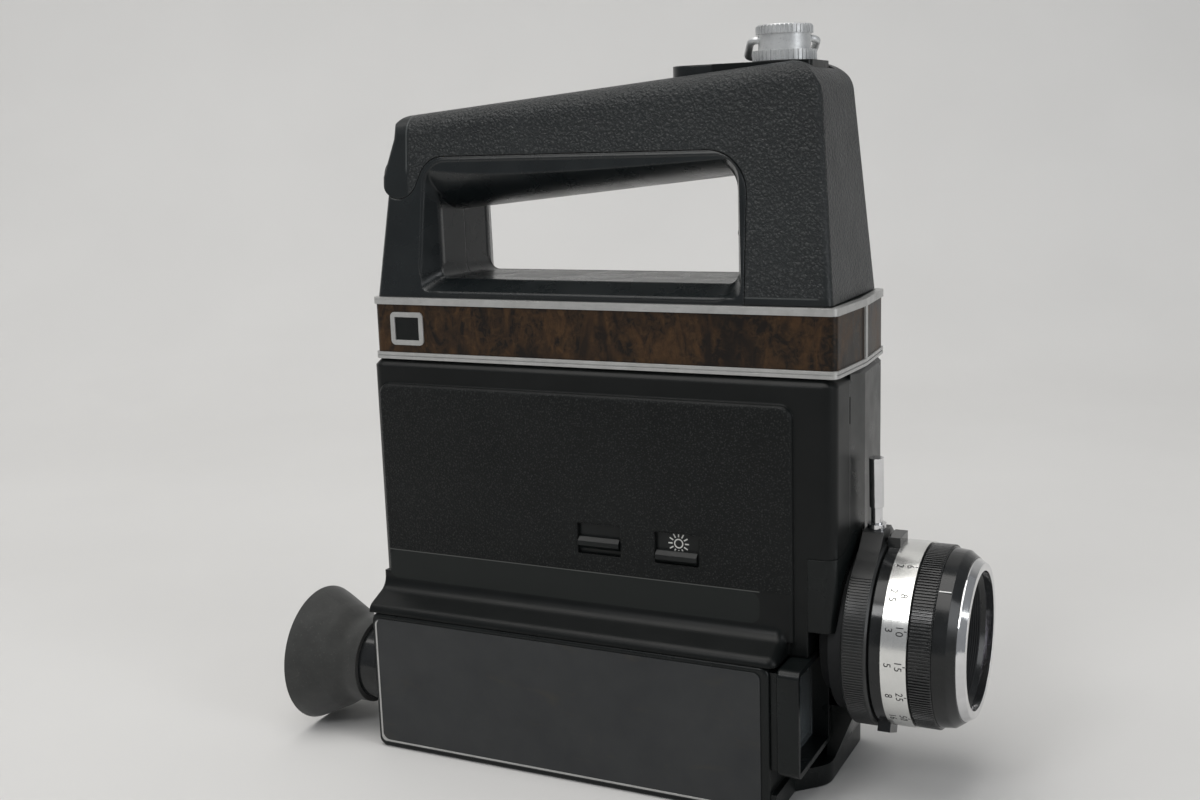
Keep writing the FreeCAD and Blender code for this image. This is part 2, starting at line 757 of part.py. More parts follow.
def make_film_door():
    """The swinging cover of the film chamber, its pin and its sliding catch."""
    panel = prism(
        "door_panel", "XZ",
        [("door_x", "door_low"), ("door_end", "door_low"), ("door_end", "door_high"), ("door_x", "door_high")],
        "door_in", "door_out",
    )
    round_edges(panel, along("y"), "corner_round")
    round_edges(panel, lambda e: near(e.BoundBox.YMin, value("door_out")), "door_thick * 0.5")
    lip = prism(
        "door_lip", "XZ",
        [("door_x + door_lap + slide_gap", "door_low + door_lap + slide_gap"),
         ("door_end - door_lap - slide_gap", "door_low + door_lap + slide_gap"),
         ("door_end - door_lap - slide_gap", "door_high - door_lap - slide_gap"),
         ("door_x + door_lap + slide_gap", "door_high - door_lap - slide_gap")],
        "shell_half - 1.2", "door_in + 0.5",
    )
    round_edges(lip, along("y"), "corner_round - slide_gap")
    lip_bore = box(
        "door_lip_bore", ("door_x + door_lap + 2", "door_end - door_lap - 2"),
        ("shell_half - 2", "door_in"), ("door_low + door_lap + 2", "door_high - door_lap - 2"),
    )
    heel = box("door_heel", ("door_x", "door_x + door_lap * 2"), ("shell_half - 2", "door_in - 0.02"), ("door_low", "door_high"))
    solids = [panel, less("door_lip_ring", lip, [lip_bore, heel])]
    for side, low in (("low", "door_mid - 2 * door_reach - slide_gap"), ("high", "door_mid + door_reach + slide_gap")):
        solids.append(rod(f"door_knuckle_{side}", "z", "door_barrel_r", ("door_axis_x", "door_axis_y", low), "door_reach"))
        solids.append(box(f"door_web_{side}", ("door_axis_x", "door_x + 3"), ("door_axis_y - 0.6", "door_out"),
                          (low, f"{low} + door_reach")))
    bore = rod("door_knuckle_bore", "z", "door_pin_r + run_gap", ("door_axis_x", "door_axis_y", "door_low"),
               "door_high - door_low")
    catch_z = ("door_mid - 7", "door_mid + 7")
    recess = box("door_catch_recess", ("door_end - 16", "door_end - 4"), ("door_out - 0.9", "door_out + 1"), catch_z)
    node(less("door_cut", union("door_solid", solids), [bore, recess]), "film_door")
    pin = rod("door_pin", "z", "door_pin_r", ("door_axis_x", "door_axis_y", "door_mid - 2 * door_reach"), "4 * door_reach")
    node(pin, "film_door_pin")
    catch = prism(
        "door_catch", "XZ",
        [("door_end - 15.8 + catch_travel", "door_mid - 7 + slide_gap"), ("door_end - 4.2", "door_mid - 7 + slide_gap"),
         ("door_end - 4.2", "door_mid + 7 - slide_gap"), ("door_end - 15.8 + catch_travel", "door_mid + 7 - slide_gap")],
        "door_out - 0.9 + slide_gap", "door_out + 0.6",
    )
    grooves = [
        box(f"door_catch_groove{count}", (f"door_end - 10 + {count} * 1.6", f"door_end - 9.2 + {count} * 1.6"),
            ("door_out + 0.1", "door_out + 2"), ("door_mid - 5", "door_mid + 5"))
        for count in range(3)
    ]
    node(less("door_catch_cut", catch, grooves), "film_door_catch")


def make_finder_housing():
    """One moulding: the tall finder case on the switch side and the flat cover under the whole body."""
    wall = "finder_wall"
    case = prism(
        "finder_case", "YZ",
        [("-finder_near", "0"), ("-finder_inner", "0"), ("-finder_inner", "finder_top"), ("-finder_near", "finder_top")],
        "0.5", "finder_len",
    )
    round_edges(case, lambda e: along("y")(e), "case_corner")
    round_edges(case, lambda e: near(e.BoundBox.YMax, value("-finder_near")), "case_edge")
    tail = "finder_len - case_corner - 1"
    base = prism(
        "finder_base", "XY",
        [(tail, "-(finder_near - case_edge)"), ("finder_len + 1.7", "-(finder_near - case_edge)"),
         ("finder_len + 1.7", "-base_near"), ("base_front", "-base_near + base_front - finder_len - 1.7"),
         ("base_front", "shell_half"), ("back_x", "shell_half"), ("back_x", "-finder_inner - 0.5"), (tail, "-finder_inner - 0.5")],
        "0", "base_tall",
    )
    round_edges(
        base,
        lambda e: along("z")(e) and e.BoundBox.XMin > value("finder_len + 2") and e.BoundBox.YMin < 20,
        "base_round",
    )
    round_edges(
        base,
        lambda e: along("z")(e) and e.BoundBox.YMin > 20,
        "corner_round",
    )
    round_edges(base, lambda e: near(e.BoundBox.ZMax, 0) and e.BoundBox.YMax > value("-base_near") - 0.1, "1.0")
    cuts = [
        box("case_hollow", (f"0.5 + {wall}", f"finder_len - {wall}"), (f"-(finder_near - {wall})", f"-(finder_inner + {wall})"),
            (wall, f"finder_top - {wall}")),
        box("base_hollow", (f"0.5 + {wall}", f"base_front - {wall} - 4"), (f"-(finder_inner + {wall})", f"shell_half - {wall}"),
            (wall, "base_tall + 1")),
        rod("eye_hole", "x", "eye_tube_r + run_gap", ("-1", "eye_y", "eye_z"), "6"),
        box("hood_hole", ("finder_len - 4", "finder_len + 3"),
            ("-(finder_near - hood_step) - slide_gap", "-(hood_inner + hood_step) + slide_gap"),
            ("hood_low + hood_step - slide_gap", "hood_top - hood_step + slide_gap")),
    ]
    node(less("finder_cut", union("finder_solid", [case, base]), cuts), "finder_housing")
    node(plate_form("plate_form", "0", "finder_near", "plate_thick / 2"), "finder_plate")
    outer = plate_form("outline_outer", "outline_edge", "finder_near + plate_thick / 2", "outline_proud")
    inner = plate_form("outline_inner", "outline_edge + outline_wide", "finder_near - 1", "4")
    node(less("outline_cut", outer, [inner]), "plate_outline")


def plate_form(name, inset, low, thick):
    """A sheet with the rounded outline of the finder's dark plate, drawn in by inset."""
    rear, front = f"plate_edge + {inset}", f"finder_len - plate_front - {inset}"
    bottom, top = f"plate_edge + {inset}", f"finder_top - plate_edge - {inset}"
    sheet_body = prism(
        name, "XZ", [(rear, bottom), (front, bottom), (front, top), (rear, top)], f"-({low} + {thick})", f"-({low})"
    )
    return round_edges(sheet_body, along("y"), f"plate_round - {inset}")


def make_finder():
    """Hood with its window at the front, lens inside, eyepiece and rubber cup at the rear."""
    hood_y = ("-finder_near", "-hood_inner")
    hood_z = ("hood_low", "hood_top")
    frame = prism(
        "hood_outer", "YZ",
        [(hood_y[0], hood_z[0]), (hood_y[1], hood_z[0]), (hood_y[1], hood_z[1]), (hood_y[0], hood_z[1])],
        "hood_x", "hood_x + hood_len",
    )
    round_edges(frame, along("x"), "hood_round")
    round_edges(frame, lambda e: near(e.BoundBox.XMax, value("hood_x")), "0.8")
    neck = box(
        "hood_neck", ("finder_len - 3", "hood_x + 0.1"),
        ("-(finder_near - hood_step)", "-(hood_inner + hood_step)"), ("hood_low + hood_step", "hood_top - hood_step"),
    )
    mouth = box(
        "hood_mouth", ("hood_x", "hood_x + hood_len + 1"),
        ("-(finder_near - hood_rim)", "-(hood_inner + hood_rim)"), ("hood_low + hood_rim", "hood_top - hood_rim"),
    )
    bore = box(
        "hood_bore", ("finder_len - 4", "hood_x + 1"),
        ("-(finder_near - 2 * hood_rim)", "-(hood_inner + 2 * hood_rim)"), ("hood_low + 2 * hood_rim", "hood_top - 2 * hood_rim"),
    )
    node(less("hood_cut", union("hood_solid", [frame, neck]), [mouth, bore]), "finder_hood")
    glass = box(
        "window_box", ("hood_x", "hood_x + 1.6"),
        ("-(finder_near - hood_rim)", "-(hood_inner + hood_rim)"), ("hood_low + hood_rim", "hood_top - hood_rim"),
    )
    node(glass, "finder_window")
    carrier = box(
        "finder_lens_plate", ("finder_len * 0.45", "finder_len * 0.45 + 2.4"),
        ("-(finder_near - finder_wall)", "-(finder_inner + finder_wall)"), ("finder_wall", "finder_top - finder_wall"),
    )
    bore_lens = rod("finder_lens_bore", "x", "eye_bore_r", ("finder_len * 0.45 - 1", "eye_y", "eye_z"), "6")
    node(less("finder_lens_frame", carrier, [bore_lens]), "finder_lens_carrier")
    node(lens_element("finder_lens_glass", "eye_bore_r", "finder_len * 0.45 - 0.6", "3.6", "30", "eye_y", "eye_z"), "finder_lens")
    tube = turned(
        "eye_tube",
        [("-eye_tube_back", "eye_bore_r"), ("4", "eye_bore_r"), ("4", "eye_tube_r"), ("-0.2", "eye_tube_r"),
         ("-0.2", "eye_tube_r + 0.8"), ("-1.8", "eye_tube_r + 0.8"), ("-1.8", "eye_tube_r"), ("-eye_tube_back", "eye_tube_r")],
        "eye_y", "eye_z",
    )
    node(tube, "eyepiece_tube")
    node(lens_element("eye_glass", "eye_bore_r", "-eye_tube_back + 2", "4", "26", "eye_y", "eye_z"), "eyepiece_lens")
    back = "-eye_tube_back"
    cup = turned(
        "eye_cup",
        [(f"{back} + 3", "eye_tube_r"), (f"{back} + 3", "eye_tube_r + eyecup_wall"), (f"{back} - 3", "eye_tube_r + eyecup_wall"),
         ("-eyecup_back * 0.62", "eyecup_r * 0.76"), ("-eyecup_back + 2", "eyecup_r * 0.965"), ("-eyecup_back", "eyecup_r"),
         ("-eyecup_back", "eyecup_r - 1.2"), ("-eyecup_back * 0.62", "eyecup_r * 0.76 - eyecup_wall"),
         (f"{back} - 3", "eye_tube_r"), (back, "eye_bore_r + 1"), (back, "eye_tube_r")],
        "eye_y", "eye_z",
    )
    round_edges(
        cup,
        lambda e: near(e.BoundBox.XLength, 0) and value("-eyecup_back * 0.7") < e.BoundBox.XMin < value("-eye_tube_back - 2"),
        "6",
    )
    node(cup, "eyecup")


def lens_element(name, radius, start, thick, curve, y, z):
    """A glass with two domed faces: the common part of two balls and a rod along X."""
    barrel = rod(name + "_edge", "x", radius, (start, y, z), thick)
    balls = []
    for side, centre in (("front", f"{start} + {thick} - {curve}"), ("rear", f"{start} + {curve}")):
        ball = doc.addObject("Part::Sphere", f"{name}_{side}")
        ball.setExpression("Radius", link(curve))
        balls.append(place(ball, centre, y, z))
    return shared(name, [barrel, *balls])


def toothed(name, role, root, tip, count, low, high, at, spin=None):
    """A round piece with evenly spaced straight teeth or ribs, its own axis at a sheet point, turned by spin."""
    body = doc.addObject("PartDesign::Body", name)
    disc = body.newObject("Sketcher::SketchObject", name + "_disc")
    plane = next(item for item in body.Origin.OriginFeatures if item.Role == role + "_Plane")
    disc.AttachmentSupport = (plane, "")
    disc.MapMode = "FlatFace"
    disc.setExpression("AttachmentOffset.Base.z", link(f"-({high})" if role == "XZ" else low))
    disc.addGeometry(Part.Circle(Vector(), Vector(0, 0, 1), value(root)), False)
    disc.addConstraint(Sketcher.Constraint("Coincident", 0, 3, -1, 1))
    number = disc.addConstraint(Sketcher.Constraint("Radius", 0, value(root)))
    disc.setExpression(f"Constraints[{number}]", link(root))
    pad = body.newObject("PartDesign::Pad", name + "_disc_pad")
    pad.Profile = disc
    pad.setExpression("Length", link(f"({high}) - ({low})"))
    doc.recompute()
    pitch = f"(3.1416 * ({tip}) / ({count}))"
    tooth = outline(
        body, name + "_tooth", role,
        [(f"({root}) * 0.9", f"-{pitch} * 0.5"), (tip, f"-{pitch} * 0.25"),
         (tip, f"{pitch} * 0.25"), (f"({root}) * 0.9", f"{pitch} * 0.5")],
        f"-({high})" if role == "XZ" else low,
    )
    rib = body.newObject("PartDesign::Pad", name + "_tooth_pad")
    rib.Profile = tooth
    rib.setExpression("Length", link(f"({high}) - ({low})"))
    doc.recompute()
    ring = body.newObject("PartDesign::PolarPattern", name + "_pattern")
    ring.Originals = [rib]
    axis = next(item for item in body.Origin.OriginFeatures if item.Role == {"YZ": "X", "XZ": "Y", "XY": "Z"}[role] + "_Axis")
    ring.Axis = (axis, [""])
    ring.Angle = 360
    ring.setExpression("Occurrences", link(count))
    body.Tip = ring
    if spin:
        body.Placement = Placement(Vector(), Rotation(Vector(1, 0, 0), 1))
        body.setExpression("Placement.Rotation.Angle", link(spin))
    doc.recompute()
    return place(body, *at)


def make_lens():
    """Fixed barrel and collar, turning zoom and focus rings, and the glass that they carry."""
    axis_at = ("0", "0", "lens_z")
    barrel = turned(
        "barrel_turned",
        [("front_plate_x + 1.4", "barrel_bore_r"), ("front_plate_x + 1.4", "barrel_r"), ("band_len - front_wall", "barrel_r"),
         ("band_len - front_wall", "mount_r"), ("zoom_x - slide_gap", "mount_r"), ("zoom_x - slide_gap", "barrel_r"),
         ("nose_x - 0.5", "barrel_r"), ("nose_x - 0.5", "barrel_bore_r")],
    )
    node(barrel, "lens_barrel")
    inner = "barrel_r + run_gap"
    zoom = turned(
        "zoom_turned",
        [("zoom_x", inner), ("zoom_x", "zoom_r - 0.6"), ("zoom_x + 0.6", "zoom_r"), ("zoom_x + zoom_wide - 0.6", "zoom_r"),
         ("zoom_x + zoom_wide", "zoom_r - 0.6"), ("zoom_x + zoom_wide", inner)],
    )
    lever_x = "zoom_x + zoom_wide / 2"
    socket = rod("lever_socket", "z", "lever_r * 0.8", (lever_x, "0", "lens_z + zoom_r - 4"), "lever_top")
    lean = Rotation(Vector(1, 0, 0), value("lever_lean"))
    boss = prism(
        "lever_boss", "YZ",
        [("-17", "lens_z + 15"), ("-17", "lens_z + zoom_r * 0.8"), ("-boss_half - 5", "lens_z + zoom_r * 0.975"),
         ("-boss_half", "lens_z + boss_top"), ("boss_half", "lens_z + boss_top"), ("boss_half + 5", "lens_z + zoom_r * 0.975"),
         ("17", "lens_z + zoom_r * 0.8"), ("17", "lens_z + 15")],
        "zoom_x + 0.6", "zoom_x + zoom_wide - 0.6",
    )
    round_edges(boss, lambda e: along("x")(e) and near(abs(e.BoundBox.YMin), value("boss_half + 5")), "8")
    round_edges(boss, lambda e: along("x")(e) and near(abs(e.BoundBox.YMin), value("boss_half")), "1.2")
    ring_bore = rod("boss_bore", "x", inner, ("zoom_x - 1", "0", "lens_z"), "zoom_wide + 2")
    whole = union("zoom_with_boss", [zoom, less("boss_cut", tilted(boss, lean, lever_x), [ring_bore])])
    node(less("zoom_cut", whole, [tilted(socket, lean, lever_x)]), "zoom_ring")
    pieces = [
        ("foot", "lever_r * 0.8", "zoom_r - 4", "boss_top - zoom_r + 5"), ("flange", "lever_r * 1.3", "boss_top", "1.6"),
        ("thin", "lever_r * 0.8", "boss_top", "lever_top * 0.75 - boss_top + 1"), ("grip", "lever_r", "lever_top * 0.72", "lever_top * 0.28"),
    ]
    stems = []
    for part, radius, start, length in pieces:
        stem = rod("lever_" + part, "z", radius, (lever_x, "0", f"lens_z + {start}"), length)
        stems.append(tilted(stem, lean, lever_x))
    node(union("lever_solid", stems), "zoom_lever")
    collar = turned(
        "collar_turned",
        [("collar_x", "barrel_r"), ("collar_x", "collar_r - 0.5"), ("collar_x + 0.5", "collar_r"), ("scale_x - 0.6", "collar_r"),
         ("scale_x - 0.6", "scale_seat_r"), ("scale_x + scale_wide", "scale_seat_r"), ("scale_x + scale_wide", "barrel_r")],
    )
    lugs = []
    for count, turn in enumerate((0, 158)):
        lug = doc.addObject("Part::Box", f"collar_lug{count}")
        for side, size in (("Length", "collar_wide - 0.6"), ("Width", "9"), ("Height", "lug_r - barrel_r - 2")):
            lug.setExpression(side, link(size))
        lugs.append(around(lug, turn, "collar_x", "-4.5", "barrel_r + 2"))
    node(union("collar_solid", [collar, *lugs]), "lens_collar")
    node(turned("scale_turned", [("scale_x - 0.6", "scale_seat_r"), ("scale_x - 0.6", "scale_r"),
                                 ("scale_x + scale_wide", "scale_r"), ("scale_x + scale_wide", "scale_seat_r")]), "scale_ring")
    ribs = toothed("focus_ribbed", "YZ", "focus_r - 0.7", "focus_r", "focus_ribs", "focus_x", "nose_x", axis_at)
    focus_bore = rod("focus_bore", "x", "barrel_r + slide_gap", ("focus_x - 1", "0", "lens_z"), "focus_wide + 2")
    node(less("focus_cut", ribs, [focus_bore]), "focus_ring")
    sleeve = "barrel_bore_r - run_gap"
    nose = turned(
        "nose_turned",
        [("nose_x", "nose_r"), ("rim_x - 2.4", "nose_r - 0.4"), ("rim_x", "rim_r + 0.4"), ("rim_x", "rim_bore_r"),
         ("nose_x + 1", "front_glass_r + 1"), ("nose_x + 1", "front_glass_r"), ("nose_x - 4", "front_glass_r"),
         ("nose_x - 4", "front_glass_r - 1"), ("nose_x - 11", "front_glass_r - 1"), ("nose_x - 11", sleeve), ("nose_x", sleeve)],
    )
    node(nose, "lens_nose")
    node(turned("rim_turned", [("rim_x", "rim_bore_r"), ("rim_x", "rim_r"), ("rim_x + 0.4", "rim_r"), ("lens_front", "rim_r - 1.2"),
                               ("lens_front", "rim_bore_r")]), "lens_rim")
    node(lens_element("front_glass", "front_glass_r", "nose_x - 4", "7", "40", "0", "lens_z"), "front_lens")
    cell = turned("zoom_cell", [("zoom_x - 4", "12"), ("zoom_x - 4", sleeve), ("zoom_x + 4", sleeve), ("zoom_x + 4", "12")])
    node(cell, "zoom_group_cell")
    node(lens_element("zoom_glass", "12", "zoom_x - 3", "5", "30", "0", "lens_z"), "zoom_group_lens")


def tilted(item, turn, x):
    """Turn a placed rod about the lens axis."""
    centre = Vector(value(f"{x} - x_mid"), value("-y_mid"), value("lens_z"))
    swing = doc.addObject("Part::Compound", item.Name + "_leaned")
    swing.Links = [item]
    swing.Placement = Placement(Vector(), turn, centre)
    return swing


def around(item, degrees, x, y, z):
    """Place a block beside the lens axis, turned about it."""
    item.Placement = Placement(Vector(), Rotation(Vector(1, 0, 0), degrees), Vector())
    lead = Rotation(Vector(1, 0, 0), degrees)
    offset = lead.multVec(Vector(0, value(y), value(z)))
    place(item, x, "0", "lens_z")
    item.setExpression("Placement.Base.y", link(f"-y_mid + ({y}) * {lead.multVec(Vector(0, 1, 0)).y:.6f} + ({z}) * {lead.multVec(Vector(0, 0, 1)).y:.6f}"))
    item.setExpression("Placement.Base.z", link(f"lens_z + ({y}) * {lead.multVec(Vector(0, 1, 0)).z:.6f} + ({z}) * {lead.multVec(Vector(0, 0, 1)).z:.6f}"))
    return item


# Handle


def pocket(body, role, points, low, high):
    """Cut a polygon through the body from low to high along the plane's own axis."""
    before = body.Shape.Volume
    name = f"{body.Name}_cut{len(body.Group)}"
    sketch = outline(body, name + "_sketch", role, points, f"-({low})" if role == "XZ" else high)
    cut = body.newObject("PartDesign::Pocket", name)
    cut.Profile = sketch
    cut.setExpression("Length", link(f"({high}) - ({low})"))
    doc.recompute()
    if not body.Shape.Volume < before:
        raise RuntimeError(name + " removes nothing")
    return body


def grip_face(part, z):
    """X of the handle's front or back face, or its half width, at a height."""
    return f"(grip_{part}_low + (grip_{part}_top - grip_{part}_low) * (({z}) - grip_low) / (grip_top - grip_low))"


def grip_beam(name, inset):
    """A long beam with the handle's leaning sides."""
    top = "grip_top + 12"
    return prism(
        name, "YZ",
        [(f"-(grip_half_low - {inset})", "grip_low"), (f"grip_half_low - {inset}", "grip_low"),
         (f"{grip_face('half', top)} - {inset}", top), (f"-({grip_face('half', top)} - {inset})", top)],
        "-20", "band_len + 30",
    )


def grip_form(name, inset):
    """The handle's outer form, or its inside when inset: rounded corners, long edges and ends."""
    top = "grip_top + 13"
    low = "grip_low - 1"
    ahead = lambda z: grip_face("front", z) + f" - {inset}"
    behind = lambda z: grip_face("back", z) + f" + {inset}"
    plan_view = grip_beam(name + "_plan", inset)
    far = "band_len + 40"
    pocket(plan_view, "XZ", [(ahead(low), low), (far, low), (far, top), (ahead(top), top)], "-40", "40")
    pocket(plan_view, "XZ", [(behind(low), low), (behind(top), top), ("-30", top), ("-30", low)], "-40", "40")
    round_edges(plan_view, lambda e: e.BoundBox.ZLength > 40, f"max(side_round - {inset}; 0.4)")
    roof = lambda x: f"(grip_top - grip_slope * (grip_front_top - ({x})) - {inset})"
    section = grip_beam(name + "_section", inset)
    pocket(section, "XZ", [("-30", roof("-30")), (far, roof(far)), (far, "grip_top + 32"), ("-30", "grip_top + 32")], "-40", "40")
    round_edges(
        section, lambda e: e.BoundBox.XLength > 100 and e.BoundBox.ZMin > value("grip_low") + 5, f"top_round - {inset}"
    )
    side = prism(
        name + "_side", "XZ",
        [(behind("grip_low"), "grip_low"), (ahead("grip_low"), "grip_low"),
         (ahead(roof("grip_front_top")), roof("grip_front_top")), (behind(roof("grip_back_top")), roof("grip_back_top"))],
        "-30", "30",
    )
    upper = lambda e: along("y")(e) and e.BoundBox.ZMin > value("seam_z")
    round_edges(side, lambda e: upper(e) and e.BoundBox.XMin > value("window_back"), f"nose_round - {inset}")
    round_edges(side, lambda e: upper(e) and e.BoundBox.XMin < value("window_back"), f"tail_round - {inset}")
    return shared(name, [plan_view, section, side])


def frame_zone(name, gap, heel):
    """Side view of the handle's fixed frame, or of the room that the hinged cover leaves for it."""
    body = prism(
        name, "XZ",
        [("-5", f"grip_low - {gap}"), *heel, (f"seam_x + {gap}", f"seam_z + {gap}"), (f"seam_x + {gap}", f"grip_low - {gap}")],
        "-30", "30",
    )
    return round_edges(body, lambda e: along("y")(e) and e.BoundBox.XMin > 60 and e.BoundBox.ZMin > value("seam_z - 1"), "seam_round")


def mirrored(name, item):
    """The same piece on the other side of the lens axis."""
    twin = doc.addObject("Part::Mirroring", name)
    twin.Source = item
    twin.Normal = Vector(0, 1, 0)
    twin.setExpression("Base.y", link("-y_mid"))
    return twin


def window_cut():
    """The finger window: rounded corners, flared rims and a bar that bulges down into it."""
    corners = [("window_back", "window_low"), ("window_front", "window_low"),
               ("window_front", "window_top"), ("window_back", "window_top")]
    through = prism("window_through", "XZ", corners, "-30", "30")
    round_edges(through, lambda e: along("y")(e) and e.BoundBox.ZMin < value("trigger_z"), "window_round")
    round_edges(through, lambda e: along("y")(e) and e.BoundBox.ZMin > value("trigger_z"), "window_top_round")
    rim = prism("window_rim", "XZ", corners, "-28", "-(grip_half_top - 1)")
    rim.Group[-1].setExpression("TaperAngle", link("flare_angle * 1 deg"))
    doc.recompute()
    round_edges(rim, lambda e: e.BoundBox.YLength > 5 and e.BoundBox.ZMax < value("trigger_z"), "window_round")
    round_edges(rim, lambda e: e.BoundBox.YLength > 5 and e.BoundBox.ZMin > value("trigger_z"), "window_top_round")
    belly = doc.addObject("PartDesign::Body", "belly")
    rings = []
    for part, x, radius, low in (("rear", "window_back - 3", "belly_r", "belly_low"),
                                 ("front", "window_front + 3", "belly_front_r", "belly_low + belly_rise")):
        ring = belly.newObject("Sketcher::SketchObject", "belly_" + part)
        plane = next(item for item in belly.Origin.OriginFeatures if item.Role == "YZ_Plane")
        ring.AttachmentSupport = (plane, "")
        ring.MapMode = "FlatFace"
        ring.setExpression("AttachmentOffset.Base.z", link(x))
        ring.addGeometry(Part.Circle(Vector(0, value(f"{low} + {radius}"), 0), Vector(0, 0, 1), value(radius)), False)
        for kind, place_at in (("DistanceY", f"{low} + {radius}"),):
            number = ring.addConstraint(Sketcher.Constraint(kind, -1, 1, 0, 3, value(place_at)))
            ring.setExpression(f"Constraints[{number}]", link(place_at))
        ring.addConstraint(Sketcher.Constraint("PointOnObject", 0, 3, -2))
        number = ring.addConstraint(Sketcher.Constraint("Radius", 0, value(radius)))
        ring.setExpression(f"Constraints[{number}]", link(radius))
        rings.append(ring)
    bulge = belly.newObject("PartDesign::AdditiveLoft", "belly_loft")
    bulge.Profile = rings[0]
    bulge.Sections = [rings[1]]
    bulge.Ruled = True
    doc.recompute()
    place(belly)
    return less("window_cut", union("window_open", [through, rim, mirrored("window_rim_far", rim)]), [belly])


def heel_line(gap, height):
    """X of the leaning front edge of the cover's rear tongue at a height, or of the frame's heel before it."""
    return f"(lobe_x + (lobe_r + {gap}) / heel_cos + (({height}) - lobe_z) * heel_lean / heel_tall)"


def tongue_side(name, gap, seam):
    """Side view of the cover's tongue round the hinge pin, or of the room that the frame leaves for it."""
    front = heel_line(gap, seam)
    body = prism(
        name, "XZ",
        [("-8", "lobe_z"), ("lobe_x", "lobe_z"), (f"lobe_x + (lobe_r + {gap}) * heel_cos", f"lobe_z - (lobe_r + {gap}) * heel_sin"),
         (front, seam), (f"{front} + 16", seam), (f"{front} + 16", "bulge_z"), ("-8", "bulge_z")],
        "-30", "30",
    )
    round_edges(
        body, lambda e: along("y")(e) and near(e.BoundBox.XMin, value(front)) and e.BoundBox.ZMin < value("bulge_z - 1"),
        f"heel_round - {gap}",
    )
    lobe = rod(name + "_lobe", "y", f"lobe_r + {gap}", ("lobe_x", "-30", "lobe_z"), "60")
    return union(name + "_whole", [body, lobe])


def tongue_beam():
    """The handle's leaning sides, ending at the rear in the round bulge over the hinge."""
    beam = grip_beam("tongue_beam", "0")
    low, top = "grip_low - 1", "grip_top + 13"
    pocket(
        beam, "XZ",
        [("lobe_x - lobe_r", low), ("lobe_x - lobe_r", "lobe_z"), (grip_face("back", "bulge_z"), "bulge_z"),
         (grip_face("back", top), top), ("-30", top), ("-30", low)],
        "-40", "40",
    )
    return round_edges(
        beam, lambda e: e.BoundBox.ZLength > 5 and e.BoundBox.XMax < value("window_back") and abs(e.BoundBox.YMin) > 5,
        "side_round",
    )


